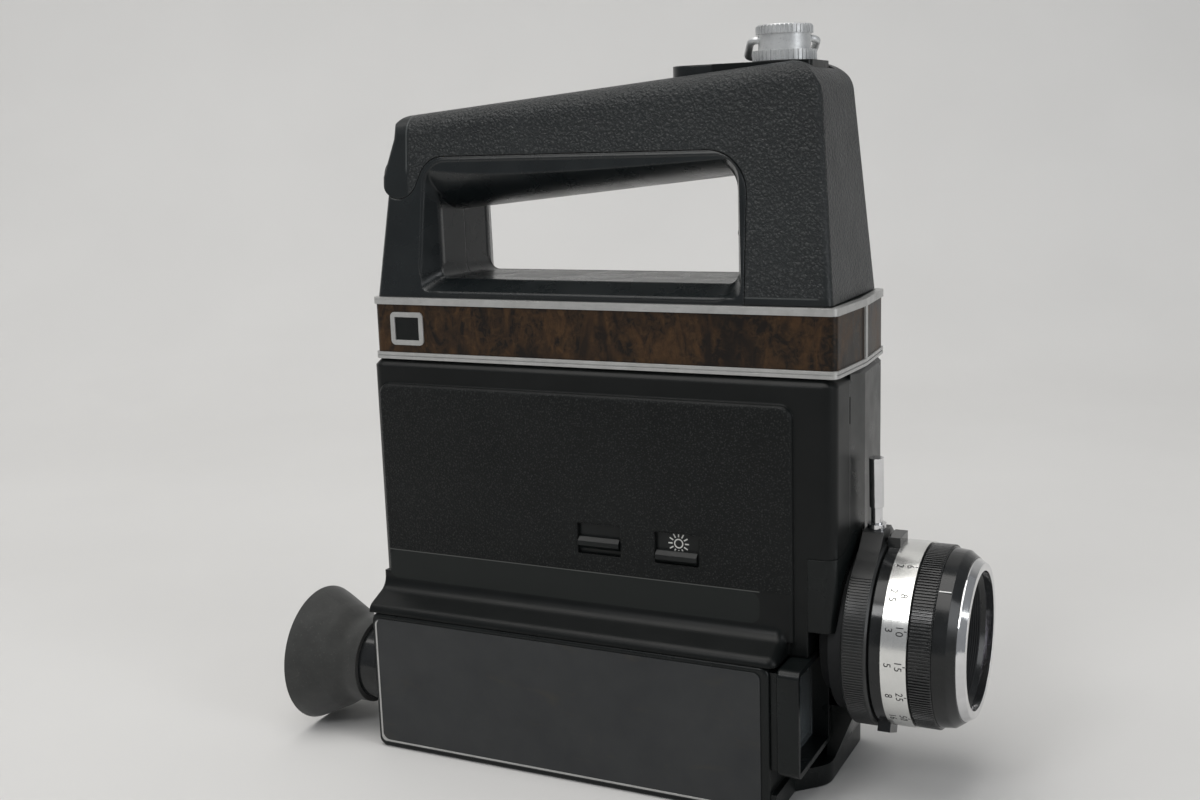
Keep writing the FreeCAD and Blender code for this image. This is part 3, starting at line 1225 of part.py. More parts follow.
def make_grip():
    """Frame halves around the finger window, and the hinged cover over batteries and tripod post."""
    outer = grip_form("grip_outer", "0")
    inner = grip_form("grip_inner", "grip_wall")
    step = [("-5", "lobe_z"), ("lobe_x", "lobe_z"), ("lobe_x", "seam_z")]
    solid = shared("frame_block", [outer, frame_zone("frame_side", "0", step)])
    pivot = ("lobe_x", "-30", "lobe_z")
    room = tongue_side("tongue_room", "slide_gap", "seam_z")
    beside = [
        box(f"beside_{side}", ("-12", "window_back + 12"), reach, ("grip_low", "grip_top"))
        for side, reach in (("near", ("-32", "-knuckle_half")), ("far", ("knuckle_half", "32")))
    ]
    tongue_room = shared("tongue_room_sides", [room, union("beside", beside)])
    knuckle = rod("frame_knuckle", "y", "lobe_r - slide_gap", ("lobe_x", "-knuckle_half", "lobe_z"), "2 * knuckle_half")
    trough = box("battery_trough", ("trough_x", "seam_x + 1"), ("-trough_half", "trough_half"), ("trough_low", "seam_z + 1"))
    passage = box("trigger_passage", ("window_front - 1", "seam_x + 1"), ("-(trigger_half + slide_gap)", "trigger_half + slide_gap"),
                  ("trigger_z - trigger_tall / 2 - slide_gap", "trigger_z + trigger_tall / 2 + slide_gap"))
    cavity = box("column_cavity", ("4", "window_back - 4"), ("-(grip_half_top - 1)", "grip_half_top - 1"),
                 ("grip_low + 3", "step_z - 6"))
    bore = rod("frame_pin_bore", "y", "hinge_pin_r", pivot, "60")
    whole = less("frame_whole", union("frame_solid", [less("frame_cleared", solid, [tongue_room]), knuckle]),
                 [window_cut(), trough, passage, cavity, bore])
    for side, low, high in (("left", "-30", "0"), ("right", "0", "30")):
        half = box("half_" + side, ("-10", "band_len + 20"), (low, high), ("grip_low - 1", "grip_top + 5"))
        node(shared("frame_" + side, [whole, half]), "handle_frame_" + side)
    node(rod("grip_pin", "y", "hinge_pin_r", ("lobe_x", "-pin_out", "lobe_z"), "2 * pin_out"), "grip_hinge_pin")
    shell = less("cover_shell", outer, [inner, frame_zone("cover_room", "seam_gap", [("-5", "seam_z + seam_gap")])])
    tongue = shared("tongue_block", [tongue_beam(), tongue_side("tongue", "0", "seam_z + seam_gap")])
    middle = box("tongue_middle", ("-12", "window_back + 12"), ("-(knuckle_half + slide_gap)", "knuckle_half + slide_gap"),
                 ("grip_low", "seam_z + seam_gap"))
    ears = [
        rod(f"cover_ear_{side}", "y", "lobe_r", ("lobe_x", start, "lobe_z"), "pin_out - knuckle_half - slide_gap + 1")
        for side, start in (("near", "-pin_out - 1"), ("far", "knuckle_half + slide_gap"))
    ]
    wall = less("tongue_wall", tongue, [inner, middle])
    slot_half = "head_half + slide_gap * 2"
    slot_back = "latch_x - latch_travel - slide_gap"
    opening = prism(
        "cover_opening", "XY",
        [(slot_back, f"-({slot_half})"), ("head_x + head_len + head_gap", f"-({slot_half})"),
         ("head_x + head_len + head_gap", slot_half), (slot_back, slot_half)],
        "seam_z + 6", "grip_top + 5",
    )
    round_edges(opening, lambda e: along("z")(e) and e.BoundBox.XMax < value("head_x"), "head_half - 1")
    barrel = rod("knuckle_room", "y", "lobe_r + slide_gap", ("lobe_x", "-knuckle_half - slide_gap", "lobe_z"),
                 "2 * (knuckle_half + slide_gap)")
    pin_room = rod("cover_pin_bore", "y", "hinge_pin_r + run_gap", ("lobe_x", "-pin_out - slide_gap", "lobe_z"),
                   "2 * (pin_out + slide_gap)")
    foot = box("cover_foot", ("-10", "band_len + 10"), ("-30", "30"), ("grip_low - 1", "grip_low + seam_gap"))
    solid = union("cover_solid", [shell, wall, *ears])
    node(less("cover_cut", solid, [opening, barrel, pin_room, foot]), "grip_cover")


def make_grip_inside():
    """Tripod post with its head, cover latch, batteries with contacts, and the trigger with its switch."""
    column = box("post_column", ("post_x", "post_end"), ("-post_half", "post_half"), ("grip_low", "head_low + 1"))
    head = prism(
        "post_head", "XY",
        [("head_x", "-head_half"), ("head_x + head_len", "-head_half"), ("head_x + head_len", "head_half"), ("head_x", "head_half")],
        "head_low", "head_top",
    )
    round_edges(head, lambda e: along("z")(e) and e.BoundBox.XMin > value("head_x + 1"), "2")
    socket = rod("post_socket", "z", "socket_r", ("adapter_x", "0", "head_top - 9"), "10")
    switch_z = ("trigger_z - 5", "trigger_z + 5")
    nook = box("post_nook", ("post_x - 1", "post_x + 5"), ("-4", "4"), switch_z)
    node(less("post_cut", union("post_solid", [column, head]), [socket, nook]), "tripod_post")
    node(box("switch_box", ("post_x", "post_x + 5"), ("-4", "4"), switch_z), "trigger_switch")
    face = "window_front - trigger_proud"
    blade = prism(
        "trigger_blade", "XZ",
        [("window_front + 2.8", "trigger_z - trigger_tall / 2"), ("window_front + 2.8", "trigger_z + trigger_tall / 2"),
         (f"{face} + 1", "trigger_z + trigger_tall / 2"), (f"{face} + 1.6", "trigger_z"), (face, "trigger_z - trigger_tall / 2 + 2"),
         (f"{face} + 2", "trigger_z - trigger_tall / 2")],
        "-trigger_half", "trigger_half",
    )
    round_edges(blade, lambda e: along("y")(e) and e.BoundBox.XMax < value("window_front - 1"), "1.5")
    node(blade, "trigger")
    button = prism(
        "latch_button", "XY",
        [("latch_x", "-(head_half - 0.5)"), ("latch_x + latch_len", "-(head_half - 0.5)"),
         ("latch_x + latch_len", "head_half - 0.5"), ("latch_x", "head_half - 0.5")],
        "latch_low", "head_top",
    )
    round_edges(button, lambda e: along("z")(e) and e.BoundBox.XMax < value("latch_x + 1"), "head_half - 1")
    flange = box("latch_flange", ("latch_x - 1", "latch_x + latch_len"), ("-(head_half + 2)", "head_half + 2"),
                 ("latch_low", "latch_low + 1.6"))
    node(union("latch_solid", [button, flange]), "cover_latch")
    cells = []
    for row_name, start in (("rear", "cell_x"), ("front", "cell_x + cell_len + cell_split")):
        for side, y in (("near", "-(cell_r + 0.15)"), ("far", "cell_r + 0.15")):
            can = rod(f"cell_{row_name}_{side}", "x", "cell_r", (start, y, "cell_z"), "cell_len - 1")
            tip = rod(f"cell_tip_{row_name}_{side}", "x", "2.7", (start, y, "cell_z"), "cell_len")
            cells.append(union(f"cell_{row_name}_{side}_whole", [can, tip]))
    pack = doc.addObject("Part::Compound", "cells")
    pack.Links = cells
    node(pack, "battery_cells")
    plates = doc.addObject("Part::Compound", "contacts")
    plates.Links = [
        box(f"contact_{end}", (x, f"{x} + 0.5"), ("-(trough_half - 1)", "trough_half - 1"), ("trough_low", "cell_z + 5"))
        for end, x in (("rear", "cell_x - 0.5"), ("front", "cell_x + 2 * cell_len + cell_split"))
    ]
    node(plates, "battery_contacts")


def make_adapter():
    """Wrist strap adapter screwed into the tripod socket, with its wire bail."""
    at = ("adapter_x", "0", "0")
    flange = toothed("adapter_flange", "XY", "flange_r - 0.35", "flange_r", "knurl_ribs", "adapter_low", "adapter_low + flange_tall", at)
    top = "adapter_low + adapter_tall"
    knurl = toothed("adapter_knurl", "XY", "adapter_r - 0.1", "adapter_r + 0.25", "knurl_ribs", f"{top} - knurl_tall", top, at)
    crown = doc.addObject("Part::Cone", "adapter_crown")
    crown.setExpression("Radius1", link("adapter_r + 0.25 - adapter_bevel + knurl_tall + 1"))
    crown.setExpression("Radius2", link("adapter_r + 0.25 - adapter_bevel"))
    crown.setExpression("Height", link("knurl_tall + 1"))
    place(crown, "adapter_x", "0", f"{top} - knurl_tall - 1")
    middle = rod("adapter_middle", "z", "adapter_r - 0.5", ("adapter_x", "0", "adapter_low + 1"), "adapter_tall - 2")
    stud = rod("adapter_stud", "z", "socket_r - run_gap", ("adapter_x", "0", "adapter_low - 6"), "8")
    socket = rod("adapter_socket", "z", "socket_r", ("adapter_x", "0", f"{top} - 6.5"), "8")
    skew = math.degrees(math.asin(value("bail_skew")))
    ears = []
    for side, sign, turn in (("front", "", skew), ("rear", "-", skew + 180)):
        start = (f"adapter_x + {sign}(adapter_r - 2) * bail_cos", f"{sign}(adapter_r - 2) * bail_skew", "bail_z")
        ear = rod("adapter_ear_" + side, "x", "bail_r + slide_gap / 2", start, "14")
        ear.Placement = Placement(ear.Placement.Base, Rotation(Vector(0, 0, 1), turn) * ear.Placement.Rotation)
        ears.append(ear)
    node(less("adapter_cut", union("adapter_solid", [flange, shared("adapter_ring", [knurl, crown]), middle, stud]), [socket, *ears]), "strap_adapter")
    wire, reach, out = value("bail_r"), value("bail_reach"), value("bail_out")
    tip = value("adapter_r - 1.7")
    bend = value("bail_r * 2.1")
    points = [Vector(-tip, 0, 0), Vector(-out, 0, 0), Vector(-out, reach, 0), Vector(out, reach, 0), Vector(out, 0, 0), Vector(tip, 0, 0)]
    path = rounded_path(points, bend)
    section = Part.Wire([Part.Circle(points[0], Vector(1, 0, 0), wire).toShape()])
    bail = doc.addObject("Part::Feature", "bail")
    bail.Shape = path.makePipeShell([section], True, True)
    bail.Placement = Placement(Vector(), Rotation(Vector(0, 0, 1), skew) * Rotation(Vector(1, 0, 0), -value("bail_droop")))
    node(place(bail, "adapter_x", "0", "bail_z"), "strap_bail")


def rounded_path(points, bend):
    """Straight runs joined by tangent arcs of one radius."""
    edges = []
    last = points[0]
    for before, corner, after in zip(points, points[1:], points[2:]):
        into = (before - corner).normalize()
        out = (after - corner).normalize()
        start, end = corner + into * bend, corner + out * bend
        middle = corner + (into + out) * bend * (1 - math.sqrt(0.5))
        edges.append(Part.LineSegment(last, start).toShape())
        edges.append(Part.Arc(start, middle, end).toShape())
        last = end
    edges.append(Part.LineSegment(last, points[-1]).toShape())
    return Part.Wire(edges)


# Inside the body


def make_drive():
    """Chassis, film gate, motor with its gears, shutter, take-up spindle and sound capstan."""
    near_y, far_y = "chassis_y", "chassis_y + chassis_thick"
    plate = box("chassis_box", ("4", "chassis_end"), (near_y, far_y), ("base_tall + 4", "deck_low - shell_wall - 1"))
    spindle = ("spindle_x", "motor_y", "spindle_z")
    boss = rod("spindle_boss", "y", "4", ("spindle_x", "-12.5", "spindle_z"), f"12.5 + {far_y}")
    cap_boss = rod("capstan_boss", "y", "3.4", ("capstan_x", "-7.6", "capstan_z"), f"7.6 + {far_y}")
    posts = [
        rod(f"board_post{count}", "y", "2", (x, "board_y", z), f"{near_y} + 0.5 - board_y")
        for count, (x, z) in enumerate((("12", "58"), ("52", "58"), ("12", "118"), ("52", "118")))
    ]
    bores = [
        rod("spindle_bore", "y", "2 + run_gap", ("spindle_x", "-20", "spindle_z"), "40"),
        rod("capstan_bore", "y", "1.2 + run_gap", ("capstan_x", "-20", "capstan_z"), "40"),
    ]
    node(less("chassis_cut", union("chassis_solid", [plate, boss, cap_boss, *posts]), bores), "chassis_plate")
    board = box("board_plate", ("8", "56"), ("board_y - 1.6", "board_y"), ("54", "122"))
    chips = [
        box(f"board_part{count}", (x, f"{x} + {wide}"), ("board_y - 1.6 - 3", "board_y - 1.6"), (z, f"{z} + {tall}"))
        for count, (x, z, wide, tall) in enumerate((("14", "64", "16", "7"), ("36", "66", "12", "12"), ("16", "84", "8", "20"),
                                                    ("32", "92", "18", "7")))
    ]
    node(union("board_solid", [board, *chips]), "circuit_board")
    gate = prism(
        "gate_plate", "YZ",
        [("-(wall_in - keeper_thick - 0.3)", "finder_top + 1"), ("-(wall_in - keeper_thick - 0.3)", "deck_low - shell_wall - 1"),
         ("shell_half - shell_wall - 0.3", "deck_low - shell_wall - 1"), ("shell_half - shell_wall - 0.3", "base_tall + 4"),
         ("-finder_inner + 0.3", "base_tall + 4"), ("-finder_inner + 0.3", "finder_top + 1")],
        "gate_x", "gate_x + 1.6",
    )
    gate_cuts = [
        box("gate_aperture", ("gate_x - 1", "gate_x + 3"), ("-2.9", "2.9"), ("lens_z - 2.1", "lens_z + 2.1")),
        rod("gate_shaft_bore", "x", "1.5 + run_gap", ("gate_x - 1", "shaft_y", "shaft_z"), "4"),
        rod("gate_motor_bore", "x", "2.5", ("gate_x - 1", "motor_y", "motor_z"), "4"),
    ]
    node(less("gate_cut", gate, gate_cuts), "film_gate")
    motor = rod("motor_can", "x", "motor_r", ("gate_x - motor_len", "motor_y", "motor_z"), "motor_len")
    neck = rod("motor_neck", "x", "2.4", ("gate_x - motor_len - 2", "motor_y", "motor_z"), "motor_len + 3")
    motor_bore = rod("motor_bore", "x", "1 + run_gap", ("gate_x - motor_len - 5", "motor_y", "motor_z"), "motor_len + 10")
    node(less("motor_cut", union("motor_solid", [motor, neck]), [motor_bore]), "motor")
    pinion = toothed("pinion_teeth_body", "YZ", "tooth_module * (pinion_teeth - 2.3) / 2", "tooth_module * (pinion_teeth + 1.6) / 2",
                     "pinion_teeth", "gear_x", "gear_x + 3", ("0", "motor_y", "motor_z"),
                     "mesh_turn + 180 deg / pinion_teeth + 180 deg")
    arbor = rod("motor_arbor", "x", "1", ("gate_x - motor_len - 20", "motor_y", "motor_z"), "gear_x + 3.3 - gate_x + motor_len + 20")
    worm = rod("motor_worm", "x", "worm_r", ("spindle_x - 7", "motor_y", "motor_z"), "14")
    node(union("pinion_solid", [pinion, arbor, worm]), "motor_pinion")
    gear = toothed("gear_teeth_body", "YZ", "tooth_module * (gear_teeth - 2.3) / 2", "tooth_module * (gear_teeth + 1.6) / 2",
                   "gear_teeth", "gear_x", "gear_x + 3", ("0", "shaft_y", "shaft_z"), "mesh_turn")
    shaft = rod("shutter_shaft", "x", "1.5", ("gate_x", "shaft_y", "shaft_z"), "gear_x + 7 - gate_x")
    disc = rod("shutter_plate", "x", "shutter_r", ("gear_x + 4.8", "shaft_y", "shaft_z"), "0.6")
    hub = rod("shutter_hub", "x", "4", ("gear_x + 2.9", "shaft_y", "shaft_z"), "3.3")
    sector = prism(
        "shutter_sector", "YZ",
        [("shaft_y + 4.5", "shaft_z - 4.5"), ("shaft_y + shutter_r", "shaft_z - shutter_r * 0.2"),
         ("shaft_y + shutter_r", "shaft_z - shutter_r - 2"), ("shaft_y - shutter_r * 0.6", "shaft_z - shutter_r - 2"),
         ("shaft_y - 4.5", "shaft_z - 7")],
        "gear_x + 4.4", "gear_x + 5.8",
    )
    node(union("shutter_solid", [less("shutter_open", disc, [sector]), hub, shaft, gear]), "shutter")
    wheel = toothed("wheel_teeth_body", "XZ", "tooth_module * (wheel_teeth - 2.3) / 2", "tooth_module * (wheel_teeth + 1.2) / 2",
                    "wheel_teeth", "motor_y - 1.5", "motor_y + 1.5", ("spindle_x", "0", "spindle_z"))
    rod_in = rod("spindle_shaft", "y", "2", spindle, f"{far_y} + 6 - motor_y")
    head = rod("spindle_head", "y", "4.4", ("spindle_x", f"{far_y} + 0.3", "spindle_z"), "6")
    fins = box("spindle_fin", ("spindle_x - 6", "spindle_x + 6"), (f"{far_y} + 0.3", f"{far_y} + 5"), ("spindle_z - 0.8", "spindle_z + 0.8"))
    node(union("spindle_solid", [wheel, rod_in, head, fins]), "take_up_spindle")
    fly = rod("capstan_wheel", "y", "13.5", ("capstan_x", "-12", "capstan_z"), "4")
    cap = rod("capstan_shaft", "y", "1.2", ("capstan_x", "-12", "capstan_z"), "12 + 12")
    node(union("capstan_solid", [fly, cap]), "sound_capstan")


zone = front_zone()
make_band()
make_left_shell(zone)
make_switches()
make_front_plate(zone)
make_main_shell(zone)
make_film_door()
make_finder_housing()
make_finder()
make_lens()
make_grip()
make_grip_inside()
make_adapter()
make_drive()
doc.recompute()

# Check and write every piece

failed = [item.Label for item in doc.Objects if {"Invalid", "Error"} & set(item.State)]
for item in NODES:
    if item.Shape.isNull() or not item.Shape.isValid() or not item.Shape.Solids:
        failed.append(item.Label + " shape")
if failed:
    raise RuntimeError("not built: " + ", ".join(failed))
os.makedirs("parts", exist_ok=True)
for item in NODES:
    item.Shape.exportStep(f"parts/{item.Label}.step")
    print(f"{item.Label:24s} {len(item.Shape.Solids):3d} solids {item.Shape.Volume / 1000:9.3f} cm3")
print(len(NODES), "nodes")
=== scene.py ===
"""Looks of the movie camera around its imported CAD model, in metres."""

import math

import bmesh
import bpy
from mathutils import Matrix, Vector


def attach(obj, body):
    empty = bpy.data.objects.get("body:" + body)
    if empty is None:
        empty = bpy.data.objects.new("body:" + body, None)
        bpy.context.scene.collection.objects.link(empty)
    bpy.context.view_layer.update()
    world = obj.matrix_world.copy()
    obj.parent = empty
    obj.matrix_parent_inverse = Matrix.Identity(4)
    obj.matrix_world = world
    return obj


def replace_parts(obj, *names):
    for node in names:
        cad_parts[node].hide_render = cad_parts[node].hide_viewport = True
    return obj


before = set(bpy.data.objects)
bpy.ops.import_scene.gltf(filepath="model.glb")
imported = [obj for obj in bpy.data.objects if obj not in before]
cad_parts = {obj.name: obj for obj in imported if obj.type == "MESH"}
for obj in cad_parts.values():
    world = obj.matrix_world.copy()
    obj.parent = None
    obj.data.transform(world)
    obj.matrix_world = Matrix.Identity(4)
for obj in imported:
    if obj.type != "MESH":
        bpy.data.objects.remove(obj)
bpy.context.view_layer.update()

MM = 0.001
X_MID, Y_MID = 79.5, -8.25  # the row frame's origin in the camera's own millimetres
LENS_Z = 48.7
SCALE_R = 27.8  # silver scale ring
FOCUS_R = 27.4  # tips of the focus ring's ribs
NOSE_R = 26.62  # just above the nose
ZOOM_RIB_R = 28.9
ZOOM_RIB_FOOT_R = 28.5
PRINT_LIFT = 0.03  # printed marks lie this far above their ring
VIEW_TURN = math.radians(26.154)  # the photograph's camera looks this far round


def at(x, y, z):
    """A point of the camera's own millimetres in the row frame."""
    return Vector(((x - X_MID) * MM, (y - Y_MID) * MM, z * MM))


# Shader graphs


class Look:
    """One procedural material. Its coordinates are the camera's own millimetres."""

    def __init__(self, name, **sockets):
        self.mat = bpy.data.materials.new(name)
        self.mat.use_nodes = True
        self.tree = self.mat.node_tree
        self.bsdf = self.tree.nodes["Principled BSDF"]
        for socket, value in sockets.items():
            self.bsdf.inputs[socket.replace("_", " ")].default_value = value
        coord = self.add("ShaderNodeTexCoord")
        scaled = self.add("ShaderNodeVectorMath", operation="MULTIPLY_ADD")
        self.feed(scaled, 0, coord.outputs["Object"])
        self.feed(scaled, 1, (1000.0, 1000.0, 1000.0))
        self.feed(scaled, 2, (X_MID, Y_MID, 0.0))
        self.mm = scaled.outputs[0]
        parts = self.add("ShaderNodeSeparateXYZ")
        self.feed(parts, 0, self.mm)
        self.x, self.y, self.z = parts.outputs

    def add(self, kind, **settings):
        node = self.tree.nodes.new(kind)
        for key, value in settings.items():
            setattr(node, key, value)
        return node

    def feed(self, node, socket, value):
        """Link a socket, or set a plain number or vector on it."""
        entry = node.inputs[socket]
        if isinstance(value, bpy.types.NodeSocket):
            self.tree.links.new(value, entry)
        else:
            entry.default_value = value

    def math(self, operation, a, b=0.0, c=0.0):
        node = self.add("ShaderNodeMath", operation=operation)
        self.feed(node, 0, a)
        self.feed(node, 1, b)
        if len(node.inputs) > 2:
            self.feed(node, 2, c)
        return node.outputs[0]

    def stretched(self, x, y, z):
        """The millimetre coordinates, scaled along each axis."""
        node = self.add("ShaderNodeVectorMath", operation="MULTIPLY")
        self.feed(node, 0, self.mm)
        self.feed(node, 1, (x, y, z))
        return node.outputs[0]

    def noise(self, size, detail=2.0, rough=0.5, warp=0.0, vector=None):
        """Soft noise whose blobs are about size millimetres wide, from 0 to 1."""
        node = self.add("ShaderNodeTexNoise")
        self.feed(node, "Vector", vector or self.mm)
        self.feed(node, "Scale", 1.0 / size)
        self.feed(node, "Detail", detail)
        self.feed(node, "Roughness", rough)
        self.feed(node, "Distortion", warp)
        return node.outputs["Fac"]

    def cells(self, size, vector):
        """Smooth distance to the nearest of scattered points, size millimetres apart."""
        node = self.add("ShaderNodeTexVoronoi", feature="SMOOTH_F1")
        self.feed(node, "Vector", vector)
        self.feed(node, "Scale", 1.0 / size)
        return node.outputs["Distance"]

    def span(self, value, low, high, out_low=0.0, out_high=1.0):
        """Map low..high to out_low..out_high, held at the ends."""
        node = self.add("ShaderNodeMapRange", clamp=True)
        for socket, entry in enumerate((value, low, high, out_low, out_high)):
            self.feed(node, socket, entry)
        return node.outputs[0]

    def product(self, first, *others):
        """Several masks multiplied together."""
        for other in others:
            first = self.math("MULTIPLY", first, other)
        return first

    def mix(self, share, a, b):
        node = self.add("ShaderNodeMix", data_type="RGBA")
        self.feed(node, 0, share)
        for socket, colour in ((6, a), (7, b)):
            if isinstance(colour, tuple):
                colour = (*colour, 1.0)
            self.feed(node, socket, colour)
        return node.outputs[2]

    def worn_edge(self, radius=0.35, low=0.02, high=0.35):
        """A mask that is 1 along sharp edges, broken up by noise."""
        bevel = self.add("ShaderNodeBevel", samples=4)
        self.feed(bevel, "Radius", radius * MM)
        geometry = self.add("ShaderNodeNewGeometry")
        dot = self.add("ShaderNodeVectorMath", operation="DOT_PRODUCT")
        self.feed(dot, 0, bevel.outputs[0])
        self.feed(dot, 1, geometry.outputs["Normal"])
        bend = self.math("SUBTRACT", 1.0, dot.outputs["Value"])
        edge = self.span(bend, low, high)
        patchy = self.span(self.noise(3.5, 3.0), 0.38, 0.68)
        return self.math("MULTIPLY", edge, patchy)

    def soft_normal(self, radius=0.25):
        """The surface normal with its sharp edges rounded off."""
        bevel = self.add("ShaderNodeBevel", samples=4)
        self.feed(bevel, "Radius", radius * MM)
        return bevel.outputs[0]

    def bump(self, height, depth, normal=None):
        """Raise the surface by depth millimetres where height is 1."""
        node = self.add("ShaderNodeBump")
        self.feed(node, "Strength", 1.0)
        self.feed(node, "Distance", depth * MM)
        self.feed(node, "Height", height)
        if normal is not None:
            self.feed(node, "Normal", normal)
        return node.outputs[0]

    def slab(self, axis, low, high, soft=0.15):
        """1 between two values of an axis, with soft ends."""
        rise = self.span(axis, low - soft, low + soft)
        fall = self.span(axis, high - soft, high + soft, 1.0, 0.0)
        return self.math("MULTIPLY", rise, fall)

    def panel_distance(self, a, b, box, corner):
        """Distance to a rounded rectangle, negative inside. box is (a low, a high, b low, b high)."""
        def reach(axis, low, high):
            offset = self.math("SUBTRACT", axis, (low + high) / 2)
            return self.math("SUBTRACT", self.math("ABSOLUTE", offset), (high - low) / 2 - corner)

        u = reach(a, box[0], box[1])
        v = reach(b, box[2], box[3])
        out = self.math(
            "SQRT",
            self.math(
                "ADD",
                self.math("POWER", self.math("MAXIMUM", u, 0.0), 2.0),
                self.math("POWER", self.math("MAXIMUM", v, 0.0), 2.0),
            ),
        )
        inside = self.math("MINIMUM", self.math("MAXIMUM", u, v), 0.0)
        return self.math("SUBTRACT", self.math("ADD", out, inside), corner)

    def finish(self, colour, rough, normal=None):
        self.feed(self.bsdf, "Base Color", colour)
        self.feed(self.bsdf, "Roughness", rough)
        if normal is not None:
            self.feed(self.bsdf, "Normal", normal)
        return self.mat


def smooth_plastic(name, dark, light, rough, depth=0.010, grain=0.45, wear=0.5):
    """Moulded plastic: a fine skin, a faint cloud in its colour and sheen, paler rubbed edges."""
    look = Look(name, Specular_IOR_Level=0.24)
    cloud = look.noise(22.0, 4.0, 0.6)
    base = look.mix(look.span(cloud, 0.3, 0.7), dark, light)
    dust = look.span(look.noise(0.6, 2.0), 0.66, 0.8, 0.0, 0.16)
    base = look.mix(dust, base, tuple(c * 2.2 + 0.01 for c in light))
    edge = look.math("MULTIPLY", look.worn_edge(), wear)
    base = look.mix(edge, base, tuple(c * 2.6 + 0.012 for c in light))
    sheen = look.span(look.noise(9.0, 3.0), 0.25, 0.75, rough - 0.06, rough + 0.07)
    skin = look.bump(look.noise(grain, 2.0), depth, look.soft_normal(0.3))
    return look.finish(base, sheen, skin)


def leather(look, size):
    """Pebbled grain: rounded cells of two sizes, warped so that no row shows."""
    warp = look.add("ShaderNodeVectorMath", operation="MULTIPLY_ADD")
    noise = look.add("ShaderNodeTexNoise")
    look.feed(noise, "Vector", look.mm)
    look.feed(noise, "Scale", 0.45 / size)
    look.feed(noise, "Detail", 2.0)
    look.feed(warp, 0, noise.outputs["Color"])
    look.feed(warp, 1, (size * 1.3,) * 3)
    look.feed(warp, 2, look.mm)
    coarse = look.span(look.cells(size, warp.outputs[0]), 0.08, 0.62, 1.0, 0.0)
    fine = look.span(look.noise(size * 0.42, 2.0, 0.55), 0.3, 0.7)
    return look.math("ADD", look.math("MULTIPLY", coarse, 0.75), look.math("MULTIPLY", fine, 0.35))


def metal(name, colour, rough, streak=(1.0, 1.0, 1.0)):
    """Plated or turned metal with fine streaks, faint tarnish and brighter edges."""
    look = Look(name, Metallic=1.0)
    tarnish = look.span(look.noise(6.0, 4.0, 0.6), 0.3, 0.75)
    base = look.mix(tarnish, colour, tuple(c * 0.82 for c in colour))
    edge = look.math("MULTIPLY", look.worn_edge(0.25), 0.35)
    base = look.mix(edge, base, tuple(min(1.0, c * 1.15) for c in colour))
    lines = look.noise(0.35, 3.0, 0.6, vector=look.stretched(*streak))
    sheen = look.span(lines, 0.3, 0.7, max(0.03, rough - 0.05), rough + 0.06)
    return look.finish(base, sheen, look.bump(lines, 0.004, look.soft_normal(0.15)))


def body_plastic():
    return smooth_plastic("body_plastic", (0.004, 0.005, 0.005), (0.007, 0.009, 0.009), 0.30)


def switch_face():
    """The filter slide: body plastic with a small sun printed on it, a ring with twelve rays."""
    look = Look("switch_face", Specular_IOR_Level=0.24)
    cloud = look.span(look.noise(12.0, 4.0, 0.6), 0.3, 0.7)
    base = look.mix(cloud, (0.006, 0.007, 0.007), (0.011, 0.013, 0.013))
    edge = look.math("MULTIPLY", look.worn_edge(), 0.5)
    base = look.mix(edge, base, (0.035, 0.036, 0.035))
    across = look.math("SUBTRACT", look.x, 105.9)
    up = look.math("SUBTRACT", look.z, 77.3)
    away = look.math("SQRT", look.math("ADD", look.math("POWER", across, 2.0), look.math("POWER", up, 2.0)))
    six_turns = look.math("MULTIPLY", look.math("ARCTAN2", across, up), 6.0)
    ripple = look.math("ABSOLUTE", look.math("SINE", six_turns))
    aside = look.math("MULTIPLY", ripple, look.math("DIVIDE", away, 6.0))
    rays = look.math("MULTIPLY", look.slab(away, 2.0, 3.35, 0.06), look.span(aside, 0.15, 0.24, 1.0, 0.0))
    sun = look.math("MAXIMUM", look.slab(away, 1.12, 1.5, 0.06), rays)
    flat = look.span(look.y, -26.6, -26.55)
    rub = look.span(look.noise(0.4, 3.0, 0.6), 0.5, 0.7, 1.0, 0.7)
    sun = look.product(sun, flat, rub)
    base = look.mix(sun, base, (0.74, 0.74, 0.71))
    sheen = look.span(look.noise(5.0, 3.0), 0.25, 0.75, 0.26, 0.38)
    return look.finish(base, sheen, look.bump(look.noise(0.45, 2.0), 0.010, look.soft_normal(0.3)))


def handle_plastic():
    """Glossier plastic with a rounded bead round the finger window."""
    look = Look("handle_plastic", Specular_IOR_Level=0.45)
    cloud = look.span(look.noise(22.0, 4.0, 0.6), 0.3, 0.7)
    base = look.mix(cloud, (0.006, 0.008, 0.009), (0.011, 0.014, 0.015))
    dust = look.span(look.noise(0.6, 2.0), 0.66, 0.8, 0.0, 0.16)
    base = look.mix(dust, base, (0.034, 0.041, 0.043))
    edge = look.math("MULTIPLY", look.worn_edge(0.6, 0.015, 0.3), 0.5)
    base = look.mix(edge, base, (0.060, 0.066, 0.068))
    distance = look.panel_distance(look.x, look.z, (20.6, 122.4, 154.6, 190.0), 5.5)
    flare = look.math("MULTIPLY", look.math("SUBTRACT", look.math("ABSOLUTE", look.y), 16.0), 0.445)
    outside = look.math("SUBTRACT", distance, flare)
    bead = look.math("MULTIPLY", look.span(outside, -0.1, 0.45), look.span(outside, 0.75, 1.25, 1.0, 0.0))
    sheen = look.span(look.noise(9.0, 3.0), 0.25, 0.75, 0.22, 0.34)
    skin = look.math("MULTIPLY", look.noise(0.45, 2.0), 0.010)
    height = look.math("ADD", skin, look.math("MULTIPLY", bead, 0.22))
    return look.finish(base, sheen, look.bump(height, 1.0, look.soft_normal(0.9)))


def inner_plastic():
    return smooth_plastic("inner_plastic", (0.010, 0.011, 0.012), (0.018, 0.019, 0.020), 0.55, 0.02, 0.8, 0.3)


